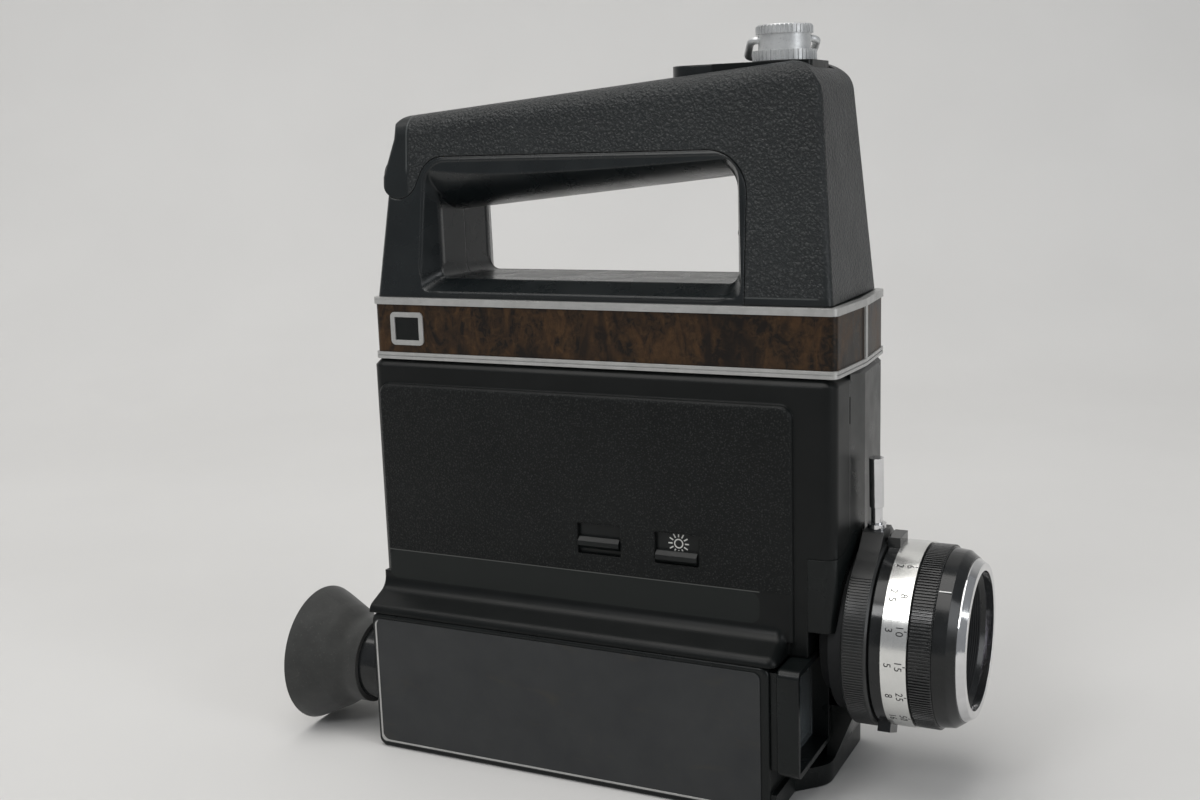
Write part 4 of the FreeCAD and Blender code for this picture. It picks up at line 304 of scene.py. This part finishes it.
def side_panel():
    """The shell on the switch side: grained raised panel over a thin crease with a painted highlight line,
    smooth rim, and a label strip painted lighter as painted sheen.
    """
    look = Look("side_panel", Specular_IOR_Level=0.19)
    cloud = look.span(look.noise(26.0, 4.0, 0.6), 0.3, 0.7)
    base = look.mix(cloud, (0.004, 0.005, 0.005), (0.007, 0.008, 0.008))
    edge_distance = look.panel_distance(look.x, look.z, (1.7, 141.7, 40.0, 121.2), 4.0)
    field = look.math(
        "MULTIPLY",
        look.span(edge_distance, -0.5, 0.2, 1.0, 0.0),
        look.span(look.z, 65.7, 66.1),
    )
    outer = look.span(look.y, -26.8, -26.5, 1.0, 0.0)
    field = look.math("MULTIPLY", field, outer)
    # The smooth label strip is painted lighter than the rest of the shell: painted sheen.
    strip = look.panel_distance(look.x, look.z, (2.0, 131.8, 55.8, 65.3), 3.0)
    strip = look.math("MULTIPLY", look.span(strip, -0.15, 0.15, 1.0, 0.0), outer)
    base = look.mix(look.math("MULTIPLY", strip, 0.8), base, (0.014, 0.017, 0.016))
    grain = leather(look, 0.62)
    shade = look.span(grain, 0.55, 0.95, 0.0, 0.9)
    base = look.mix(look.math("MULTIPLY", field, shade), base, (0.036, 0.038, 0.037))
    # A light line painted along the thin crease under the panel: a painted highlight.
    line = look.product(
        look.slab(look.z, 65.45, 65.75, 0.08),
        look.span(look.x, 131.5, 132.1, 1.0, 0.0),
        look.span(look.x, 2.2, 2.6),
    )
    painted_highlight = look.product(line, 0.8, outer)
    base = look.mix(painted_highlight, base, (0.11, 0.115, 0.11))
    edge = look.math("MULTIPLY", look.worn_edge(), 0.45)
    base = look.mix(edge, base, (0.06, 0.063, 0.06))
    rough = look.span(look.noise(10.0, 3.0), 0.25, 0.75, 0.28, 0.36)
    rough = look.math("ADD", rough, look.math("MULTIPLY", field, 0.06))
    skin = look.math("MULTIPLY", look.noise(0.45, 2.0), 0.12)
    height = look.math("ADD", look.math("MULTIPLY", grain, field), skin)
    return look.finish(base, rough, look.bump(height, 0.16, look.soft_normal(1.1)))


def grip_leather():
    """The handle's cover: coarse grain on its sides and top, smooth bands at its rim and tail, and painted
    highlight lines along its rear end and lower edge.
    """
    look = Look("grip_leather", Specular_IOR_Level=0.38)
    cloud = look.span(look.noise(30.0, 4.0, 0.6), 0.3, 0.7)
    base = look.mix(cloud, (0.007, 0.009, 0.010), (0.013, 0.016, 0.017))
    grain = leather(look, 0.86)
    side = look.span(look.math("ABSOLUTE", look.y), 14.0, 15.0)
    low = look.math("SUBTRACT", 1.0, look.math("MULTIPLY", side, look.span(look.z, 151.4, 151.9, 1.0, 0.0)))
    back = look.span(look.x, 12.2, 12.9)
    front = look.span(look.x, 149.0, 150.0, 1.0, 0.5)
    field = look.product(low, back, front)
    shade = look.math("MULTIPLY", look.span(grain, 0.5, 0.95, 0.0, 0.8), field)
    base = look.mix(shade, base, (0.050, 0.054, 0.054))
    # Light lines painted along the cover's rear end and its lower edge, where the edge catches light: painted
    # highlight.
    rear_highlight = look.math("MULTIPLY", look.slab(look.x, 11.7, 12.2, 0.15), look.span(look.z, 188.0, 190.0))
    foot = look.math(
        "MULTIPLY", look.slab(look.z, 151.3, 151.7, 0.12), look.span(look.x, 148.0, 149.0, 1.0, 0.0)
    )
    painted_highlight = look.math("MULTIPLY", look.math("MAXIMUM", rear_highlight, foot), look.math("MULTIPLY", side, 0.5))
    base = look.mix(painted_highlight, base, (0.13, 0.14, 0.14))
    edge = look.math("MULTIPLY", look.worn_edge(0.5), 0.4)
    base = look.mix(edge, base, (0.09, 0.095, 0.095))
    rough = look.span(look.noise(12.0, 3.0), 0.25, 0.75, 0.30, 0.40)
    skin = look.math("MULTIPLY", look.noise(0.7, 3.0, 0.6), 0.22)
    height = look.math("ADD", look.math("MULTIPLY", grain, field), skin)
    return look.finish(base, rough, look.bump(height, 0.30, look.soft_normal(0.6)))


def burl_wood():
    """Dark burl: brown figure that stands upright in tongues, black patches and fine pores."""
    look = Look("burl_wood", Specular_IOR_Level=0.22, Coat_Weight=0.06, Coat_Roughness=0.2)
    figure = look.noise(6.5, 5.0, 0.62, 1.6, look.stretched(1.0, 1.0, 0.42))
    blots = look.noise(15.0, 3.0, 0.55, 0.8, look.stretched(1.0, 1.0, 0.6))
    tone = look.mix(look.span(figure, 0.40, 0.62), (0.006, 0.0035, 0.002), (0.052, 0.025, 0.0085))
    flecks = look.span(look.noise(2.4, 4.0, 0.6, 1.0), 0.45, 0.75, 0.0, 0.55)
    tone = look.mix(flecks, tone, (0.088, 0.046, 0.017))
    tone = look.mix(look.span(blots, 0.50, 0.60, 0.0, 0.85), tone, (0.005, 0.003, 0.002))
    pores = look.span(look.noise(0.35, 2.0, 0.5, 0.0, look.stretched(1.0, 1.0, 0.3)), 0.6, 0.72)
    tone = look.mix(look.math("MULTIPLY", pores, 0.5), tone, (0.004, 0.003, 0.002))
    rough = look.span(figure, 0.3, 0.7, 0.34, 0.46)
    return look.finish(tone, rough, look.bump(pores, -0.02, look.soft_normal()))


def silver_trim():
    """Satin silver strip with faint scuffs."""
    look = Look("silver_trim", Metallic=0.55)
    cloud = look.span(look.noise(5.0, 4.0, 0.6), 0.35, 0.75)
    base = look.mix(cloud, (0.50, 0.50, 0.49), (0.40, 0.40, 0.39))
    scuffs = look.span(look.noise(0.9, 3.0, 0.6, 0.0, look.stretched(0.3, 0.3, 2.0)), 0.62, 0.75, 0.0, 0.5)
    base = look.mix(scuffs, base, (0.25, 0.25, 0.25))
    edge = look.math("MULTIPLY", look.worn_edge(0.2), 0.5)
    base = look.mix(edge, base, (0.66, 0.66, 0.65))
    rough = look.span(look.noise(2.0, 3.0), 0.3, 0.7, 0.30, 0.42)
    return look.finish(base, rough, look.bump(look.noise(0.25, 2.0), 0.006, look.soft_normal(0.12)))


def scale_silver():
    """Turned satin ring with lines round its axis."""
    look = Look("scale_silver", Metallic=0.9)
    lines = look.noise(0.16, 3.0, 0.6, vector=look.stretched(1.0, 0.02, 0.02))
    cloud = look.span(look.noise(7.0, 3.0), 0.3, 0.7)
    base = look.mix(cloud, (0.84, 0.84, 0.82), (0.74, 0.74, 0.72))
    edge = look.math("MULTIPLY", look.worn_edge(0.2), 0.5)
    base = look.mix(edge, base, (0.85, 0.85, 0.84))
    rough = look.span(lines, 0.3, 0.7, 0.14, 0.26)
    return look.finish(base, rough, look.bump(lines, 0.006, look.soft_normal(0.12)))


def lens_enamel():
    """Glossy black enamel with dust and small rubs on its edges."""
    look = Look("lens_enamel", Specular_IOR_Level=0.36, Coat_Weight=0.08, Coat_Roughness=0.05)
    cloud = look.span(look.noise(8.0, 3.0), 0.3, 0.7)
    base = look.mix(cloud, (0.008, 0.009, 0.009), (0.014, 0.015, 0.016))
    dust = look.span(look.noise(0.45, 2.0), 0.68, 0.8, 0.0, 0.25)
    base = look.mix(dust, base, (0.10, 0.10, 0.095))
    edge = look.math("MULTIPLY", look.worn_edge(0.25), 0.55)
    base = look.mix(edge, base, (0.12, 0.12, 0.12))
    rough = look.span(look.noise(4.0, 3.0), 0.25, 0.75, 0.12, 0.22)
    return look.finish(base, rough, look.bump(look.noise(0.7, 2.0), 0.004, look.soft_normal(0.2)))


def ring_enamel(name, dark, light, rough):
    """Black enamel of the turned rings, whose ribs are in their meshes."""
    look = Look(name, Specular_IOR_Level=0.5)
    cloud = look.span(look.noise(9.0, 3.0), 0.3, 0.7)
    base = look.mix(cloud, dark, light)
    dust = look.span(look.noise(0.5, 2.0), 0.66, 0.8, 0.0, 0.2)
    base = look.mix(dust, base, (0.09, 0.09, 0.085))
    edge = look.math("MULTIPLY", look.worn_edge(0.25), 0.5)
    base = look.mix(edge, base, (0.11, 0.11, 0.11))
    sheen = look.span(look.noise(5.0, 3.0), 0.25, 0.75, rough - 0.05, rough + 0.06)
    return look.finish(base, sheen, look.soft_normal(0.2))


def dull_metal():
    """Soft dull plating on turned brass or zinc."""
    look = Look("adapter_plating", Metallic=0.6)
    cloud = look.span(look.noise(4.0, 4.0, 0.65), 0.3, 0.7)
    base = look.mix(cloud, (0.70, 0.71, 0.71), (0.55, 0.56, 0.565))
    pits = look.span(look.noise(0.5, 3.0), 0.60, 0.72, 0.0, 0.5)
    base = look.mix(pits, base, (0.36, 0.36, 0.36))
    edge = look.math("MULTIPLY", look.worn_edge(0.25), 0.6)
    base = look.mix(edge, base, (0.80, 0.81, 0.81))
    lines = look.noise(0.3, 3.0, 0.6, vector=look.stretched(0.1, 0.1, 1.0))
    rough = look.span(lines, 0.3, 0.7, 0.34, 0.50)
    return look.finish(base, rough, look.bump(lines, 0.015, look.soft_normal(0.15)))


def rubber():
    """Soft dusty rubber."""
    look = Look("eyecup_rubber", Specular_IOR_Level=0.35, Sheen_Weight=0.25, Sheen_Roughness=0.5)
    cloud = look.span(look.noise(14.0, 4.0, 0.65), 0.3, 0.7)
    base = look.mix(cloud, (0.020, 0.021, 0.020), (0.038, 0.039, 0.037))
    dust = look.span(look.noise(0.7, 3.0, 0.6), 0.60, 0.74, 0.0, 0.35)
    base = look.mix(dust, base, (0.11, 0.105, 0.095))
    edge = look.math("MULTIPLY", look.worn_edge(0.4), 0.35)
    base = look.mix(edge, base, (0.08, 0.08, 0.077))
    rough = look.span(look.noise(6.0, 3.0), 0.3, 0.7, 0.62, 0.78)
    return look.finish(base, rough, look.bump(look.noise(0.6, 3.0), 0.03, look.soft_normal(0.3)))


def plate_plastic():
    """The dark plate on the finder case: fine matt texture with a few warm smudges."""
    look = Look("plate_plastic", Specular_IOR_Level=0.4)
    cloud = look.span(look.noise(18.0, 4.0, 0.6), 0.3, 0.7)
    base = look.mix(cloud, (0.020, 0.022, 0.024), (0.030, 0.032, 0.033))
    smudge = look.span(look.noise(11.0, 5.0, 0.7, 0.6, look.stretched(0.6, 1.0, 1.6)), 0.58, 0.72, 0.0, 0.35)
    base = look.mix(smudge, base, (0.050, 0.042, 0.028))
    edge = look.math("MULTIPLY", look.worn_edge(0.2), 0.4)
    base = look.mix(edge, base, (0.07, 0.07, 0.07))
    rough = look.span(look.noise(7.0, 3.0), 0.3, 0.7, 0.44, 0.58)
    return look.finish(base, rough, look.bump(look.noise(0.28, 2.0), 0.012, look.soft_normal(0.2)))


def coated_glass(name, tint):
    """Optical glass with a coloured reflection from its coating and a little dust."""
    look = Look(name, Transmission_Weight=0.85, IOR=1.6, Coat_Weight=0.5, Coat_Roughness=0.03)
    dust = look.span(look.noise(0.8, 3.0), 0.62, 0.75, 0.0, 0.12)
    base = look.mix(dust, tint, (0.6, 0.6, 0.58))
    haze = look.span(look.noise(5.0, 3.0), 0.3, 0.75, 0.02, 0.07)
    return look.finish(base, haze)


def print_ink(name, colour, rubbed, rough):
    """Thin printed paint, rubbed through in small spots."""
    look = Look(name, Specular_IOR_Level=0.35)
    rub = look.span(look.noise(0.5, 3.0, 0.6), 0.55, 0.72, 0.0, 0.6)
    base = look.mix(rub, colour, rubbed)
    sheen = look.span(look.noise(1.5, 2.0), 0.3, 0.7, rough - 0.06, rough + 0.06)
    return look.finish(base, sheen, look.bump(look.noise(0.3, 2.0), 0.004))


def laminate():
    """Circuit board with wavy tracks in rows."""
    look = Look("board_laminate", Specular_IOR_Level=0.5)
    cloud = look.span(look.noise(8.0, 3.0), 0.3, 0.7)
    base = look.mix(cloud, (0.020, 0.085, 0.040), (0.030, 0.115, 0.055))
    bent_height = look.math("ADD", look.z, look.math("MULTIPLY", look.noise(9.0), 8.0))
    run = look.math("SINE", look.math("MULTIPLY", bent_height, 2.4))
    track = look.span(run, 0.55, 0.7, 0.0, 0.55)
    base = look.mix(track, base, (0.05, 0.17, 0.08))
    return look.finish(base, look.span(look.noise(4.0), 0.3, 0.7, 0.35, 0.5), look.bump(track, 0.03))


LOOKS = {
    "body": (body_plastic, "main_shell finder_housing finder_hood middle_frame front_plate film_door "
             "film_door_catch battery_check_slide grip_hinge_pin tripod_post badge_insert"),
    "switch": (switch_face, "filter_switch_slide"),
    "handle": (handle_plastic, "handle_frame_left handle_frame_right cover_latch trigger"),
    "inner": (inner_plastic,
              "finder_lens_carrier trigger_switch take_up_spindle lens_barrel zoom_group_cell shutter"),
    "panel": (side_panel, "left_shell"),
    "grip": (grip_leather, "grip_cover"),
    "wood": (burl_wood, "wood_band"),
    "trim": (silver_trim, "upper_trim lower_trim front_divider badge_frame plate_outline"),
    "scale": (scale_silver, "scale_ring"),
    "chrome": (lambda: metal("bright_chrome", (0.78, 0.78, 0.79), 0.10, (1.0, 0.1, 0.1)),
               "lens_rim zoom_lever"),
    "steel": (lambda: metal("plain_steel", (0.50, 0.50, 0.51), 0.34, (0.2, 1.0, 1.0)),
              "film_door_pin chassis_plate film_gate motor motor_pinion sound_capstan slide_keeper"),
    "brass": (lambda: metal("bare_brass", (0.62, 0.46, 0.20), 0.30), "battery_contacts"),
    "cells": (lambda: metal("cell_can", (0.42, 0.42, 0.45), 0.36, (1.0, 0.2, 0.2)), "battery_cells"),
    "enamel": (lens_enamel, "lens_collar lens_nose eyepiece_tube"),
    "focus": (lambda: ring_enamel("focus_enamel", (0.006, 0.007, 0.007), (0.011, 0.012, 0.012), 0.16),
              "focus_ring"),
    "zoom": (lambda: ring_enamel("zoom_enamel", (0.014, 0.015, 0.015), (0.022, 0.023, 0.023), 0.34),
             "zoom_ring"),
    "plating": (dull_metal, "strap_adapter strap_bail"),
    "rubber": (rubber, "eyecup"),
    "plate": (plate_plastic, "finder_plate"),
    "glass": (lambda: coated_glass("coated_glass", (0.80, 0.74, 0.90)),
              "front_lens zoom_group_lens finder_lens eyepiece_lens"),
    "window": (lambda: coated_glass("window_glass", (0.55, 0.62, 0.66)), "finder_window"),
    "board": (laminate, "circuit_board"),
    "ink": (lambda: print_ink("black_ink", (0.012, 0.012, 0.013), (0.10, 0.10, 0.10), 0.5), ""),
    "paint": (lambda: print_ink("white_paint", (0.90, 0.90, 0.88), (0.62, 0.62, 0.60), 0.5), ""),
}

materials = {}
for key, (maker, names) in LOOKS.items():
    materials[key] = maker()
    for name in names.split():
        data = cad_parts[name].data
        data.materials.clear()
        data.materials.append(materials[key])

# Pieces that the CAD leaves to the scene


def piece(name, bm, body, key, smooth=False):
    """A mesh in the row frame that rides on a body."""
    mesh = bpy.data.meshes.new(name)
    bmesh.ops.recalc_face_normals(bm, faces=bm.faces)
    bm.to_mesh(mesh)
    bm.free()
    for face in mesh.polygons:
        face.use_smooth = smooth
    mesh.materials.append(materials[key])
    obj = bpy.data.objects.new(name, mesh)
    bpy.context.scene.collection.objects.link(obj)
    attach(obj, body)
    return obj


def on_lens(x, radius, angle):
    """A point round the lens axis. The angle starts at the top and grows towards the switch side."""
    return at(x, -radius * math.sin(angle), LENS_Z + radius * math.cos(angle))


def zoom_ribs():
    """Fine ribs round the zoom ring, except where the lever's foot flares out of it."""
    bm = bmesh.new()
    count = 200
    for k in range(count):
        middle = 2 * math.pi * k / count
        if math.cos(middle - math.radians(3.0)) > math.cos(math.radians(38.0)):
            continue
        ends = []
        for x, sink in ((156.62, 0.22), (156.95, 0.0), (162.45, 0.0), (162.78, 0.22)):
            crest = ZOOM_RIB_R - sink
            outline = ((ZOOM_RIB_FOOT_R, -0.30), (crest, -0.15), (crest, 0.15), (ZOOM_RIB_FOOT_R, 0.30))
            row = [bm.verts.new(on_lens(x, radius, middle + across / 28.6)) for radius, across in outline]
            ends.append(row)
        for first, second in zip(ends, ends[1:]):
            for a in range(3):
                bm.faces.new((first[a], first[a + 1], second[a + 1], second[a]))
        bm.faces.new(ends[0])
        bm.faces.new(ends[-1])
    piece("zoom_ribs", bm, "zoom_ring_body", "zoom")


def focus_ribs():
    """The focus ring with its fine ribs, each cut down at both ends."""
    bm = bmesh.new()
    count = 176
    root = 26.95
    chamfer = 26.9
    depth = 2.9
    sections = (
        (175.1, depth, FOCUS_R), (175.1, 0.0, chamfer), (175.45, 0.0, FOCUS_R),
        (181.3, 0.0, FOCUS_R), (181.65, 0.0, chamfer), (181.65, depth, FOCUS_R),
    )
    rows = []
    for x, sunk, cap in sections:
        row = []
        for k in range(count):
            middle = 2 * math.pi * k / count
            for radius, across in ((root, -0.34), (FOCUS_R, -0.20), (FOCUS_R, 0.20), (root, 0.34)):
                place = on_lens(x, min(radius, cap) - sunk, middle + across / FOCUS_R)
                row.append(bm.verts.new(place))
        rows.append(row)
    for first, second in zip(rows, rows[1:]):
        for a in range(len(first)):
            b = (a + 1) % len(first)
            bm.faces.new((first[a], first[b], second[b], second[a]))
    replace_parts(piece("focus_ribs", bm, "focus_body", "focus"), "focus_ring")


def cone_threads():
    """Low ridges inside the lens hood that keep light off the glass."""
    bm = bmesh.new()
    profile = []
    ridges = 6
    for k in range(ridges + 1):
        share = 0.12 + 0.62 * k / ridges
        x, radius = 182.7 + 5.3 * share, 16.5 + 4.1 * share
        profile.append((x, radius))
        if k < ridges:
            profile.append((x + 0.12, radius - 0.10))
            profile.append((x + 0.38, radius + 0.10))
    rings = []
    for k in range(96):
        angle = 2 * math.pi * k / 96
        rings.append([bm.verts.new(on_lens(x, radius - 0.05, angle)) for x, radius in profile])
    for k in range(96):
        first, second = rings[k], rings[(k + 1) % 96]
        for a in range(len(profile) - 1):
            bm.faces.new((first[a], first[a + 1], second[a + 1], second[a]))
    piece("cone_threads", bm, "focus_body", "inner", True)


def ring_words(name, text, x, turn, size, body, radius, key):
    """Numbers printed round a ring: they read downwards on the switch side, their tops towards the front."""
    data = bpy.data.curves.new(name + "_text", "FONT")
    data.body = text
    data.size = size
    data.align_x = "CENTER"
    data.space_character = 1.15
    source = bpy.data.objects.new(name + "_text", data)
    flat = bpy.data.meshes.new_from_object(source)
    bm = bmesh.new()
    bm.from_mesh(flat)
    for vert in bm.verts:
        across, up = vert.co.x, vert.co.y
        vert.co = on_lens(x + up, radius + PRINT_LIFT, math.radians(turn) + across / radius)
    bpy.data.objects.remove(source)
    bpy.data.curves.remove(data)
    bpy.data.meshes.remove(flat)
    piece(name, bm, body, key)


def ring_tick(bm, x0, x1, turn, wide, radius):
    """A short printed line along the lens axis."""
    half = wide / 2 / radius
    angle = math.radians(turn)
    corners = ((x0, angle - half), (x1, angle - half), (x1, angle + half), (x0, angle + half))
    bm.faces.new([bm.verts.new(on_lens(x, radius + PRINT_LIFT, around)) for x, around in corners])


def scale_marks():
    """Distances in two rows round the silver ring, with a tick beside each."""
    distances = (("6", "2"), ("8", "2.5"), ("10", "3"), ("15", "5"), ("25", "8"), ("50", "16"))
    ticks = bmesh.new()
    for count, (near_text, far_text) in enumerate(distances):
        for side, start in (("near", 28.0), ("far", 208.0)):
            turn = start + count * 21.0
            ring_words(f"feet_{side}{count}", near_text, 171.7, turn, 3.0, "camera_body", SCALE_R, "ink")
            ring_words(f"metres_{side}{count}", far_text, 168.6, turn, 3.0, "camera_body", SCALE_R, "ink")
            ring_tick(ticks, 174.05, 174.75, turn, 0.3, SCALE_R)
    piece("scale_ticks", ticks, "camera_body", "ink")
    marks = bmesh.new()
    ring_tick(marks, 181.9, 185.4, 42.0, 0.35, NOSE_R)
    piece("focus_index", marks, "focus_body", "paint")


zoom_ribs()
focus_ribs()
cone_threads()
scale_marks()

# Stage, light and camera

FLOOR = (0.69, 0.685, 0.675)


def sweep():
    """A floor that curves up into a backdrop, all in one sheet."""
    steps = 24
    front = -0.9
    behind = 0.55
    bend = 0.45
    top = 2.4
    profile = [(front, 0.0), (0.0, 0.0)]
    for k in range(steps + 1):
        angle = math.pi / 2 * k / steps
        profile.append((behind + bend * math.sin(angle), bend - bend * math.cos(angle)))
    profile.append((behind + bend, top))
    mesh = bpy.data.meshes.new("sweep")
    bm = bmesh.new()
    turn = Matrix.Rotation(VIEW_TURN, 4, "Z")
    rows = []
    for side in (-2.6, 2.6):
        rows.append([bm.verts.new(turn @ Vector((side, along, height))) for along, height in profile])
    for k in range(len(profile) - 1):
        bm.faces.new((rows[0][k], rows[1][k], rows[1][k + 1], rows[0][k + 1]))
    for face in bm.faces:
        face.smooth = True
    bm.to_mesh(mesh)
    bm.free()
    obj = bpy.data.objects.new("sweep", mesh)
    bpy.context.scene.collection.objects.link(obj)
    look = Look("sweep_paper")
    cloud = look.span(look.noise(160.0, 3.0), 0.3, 0.7)
    tone = look.mix(cloud, FLOOR, tuple(c * 0.965 for c in FLOOR))
    look.bsdf.inputs["Specular IOR Level"].default_value = 0.15
    rough = look.span(cloud, 0.0, 1.0, 0.78, 0.86)
    mesh.materials.append(look.finish(tone, rough, look.bump(look.noise(1.6, 2.0), 0.02)))


def lamp(name, place, aim, size, watts, colour=(1.0, 1.0, 1.0)):
    data = bpy.data.lights.new(name, "AREA")
    data.shape = "RECTANGLE"
    data.size, data.size_y = size
    data.energy = watts
    data.color = colour
    obj = bpy.data.objects.new(name, data)
    obj.location = place
    obj.rotation_euler = (Vector(aim) - Vector(place)).to_track_quat("-Z", "Y").to_euler()
    bpy.context.scene.collection.objects.link(obj)


def stage():
    sweep()
    world = bpy.data.worlds.new("room")
    world.use_nodes = True
    world.node_tree.nodes["Background"].inputs["Color"].default_value = (0.93, 0.96, 1.0, 1.0)
    world.node_tree.nodes["Background"].inputs["Strength"].default_value = 0.28
    bpy.context.scene.world = world
    lamp("ceiling_light", (-0.25, -0.35, 1.9), (0, 0, 0.1), (1.7, 1.7), 25.5, (1.0, 0.98, 0.95))
    lamp("side_light", (1.5, -0.35, 0.55), (0, 0, 0.1), (0.5, 1.1), 5.5, (0.96, 0.98, 1.0))
    lamp("front_light", (-0.35, -1.35, 1.25), (0, 0, 0.1), (0.4, 0.4), 4.5)


def photo_camera():
    """The photograph's camera, found by fitting the object's own corners."""
    elevation = math.radians(10.837)
    roll = math.radians(-1.886)
    level_part = math.cos(elevation)
    forward = Vector((
        -math.sin(VIEW_TURN) * level_part,
        math.cos(VIEW_TURN) * level_part,
        -math.sin(elevation),
    ))
    level = forward.cross(Vector((0, 0, 1))).normalized()
    upright = level.cross(forward)
    right = level * math.cos(roll) + upright * math.sin(roll)
    up = upright * math.cos(roll) - level * math.sin(roll)
    data = bpy.data.cameras.new("photo_camera")
    data.sensor_fit = "HORIZONTAL"
    data.sensor_width = 36.0
    data.lens = 42.27
    data.clip_start = 0.01
    obj = bpy.data.objects.new("photo_camera", data)
    turn = Matrix((right, up, -forward)).transposed().to_4x4()
    obj.matrix_world = Matrix.Translation((0.185866, -0.393309, 0.199851)) @ turn
    bpy.context.scene.collection.objects.link(obj)
    bpy.context.scene.camera = obj


stage()
photo_camera()
bpy.context.scene.view_settings.view_transform = "Standard"
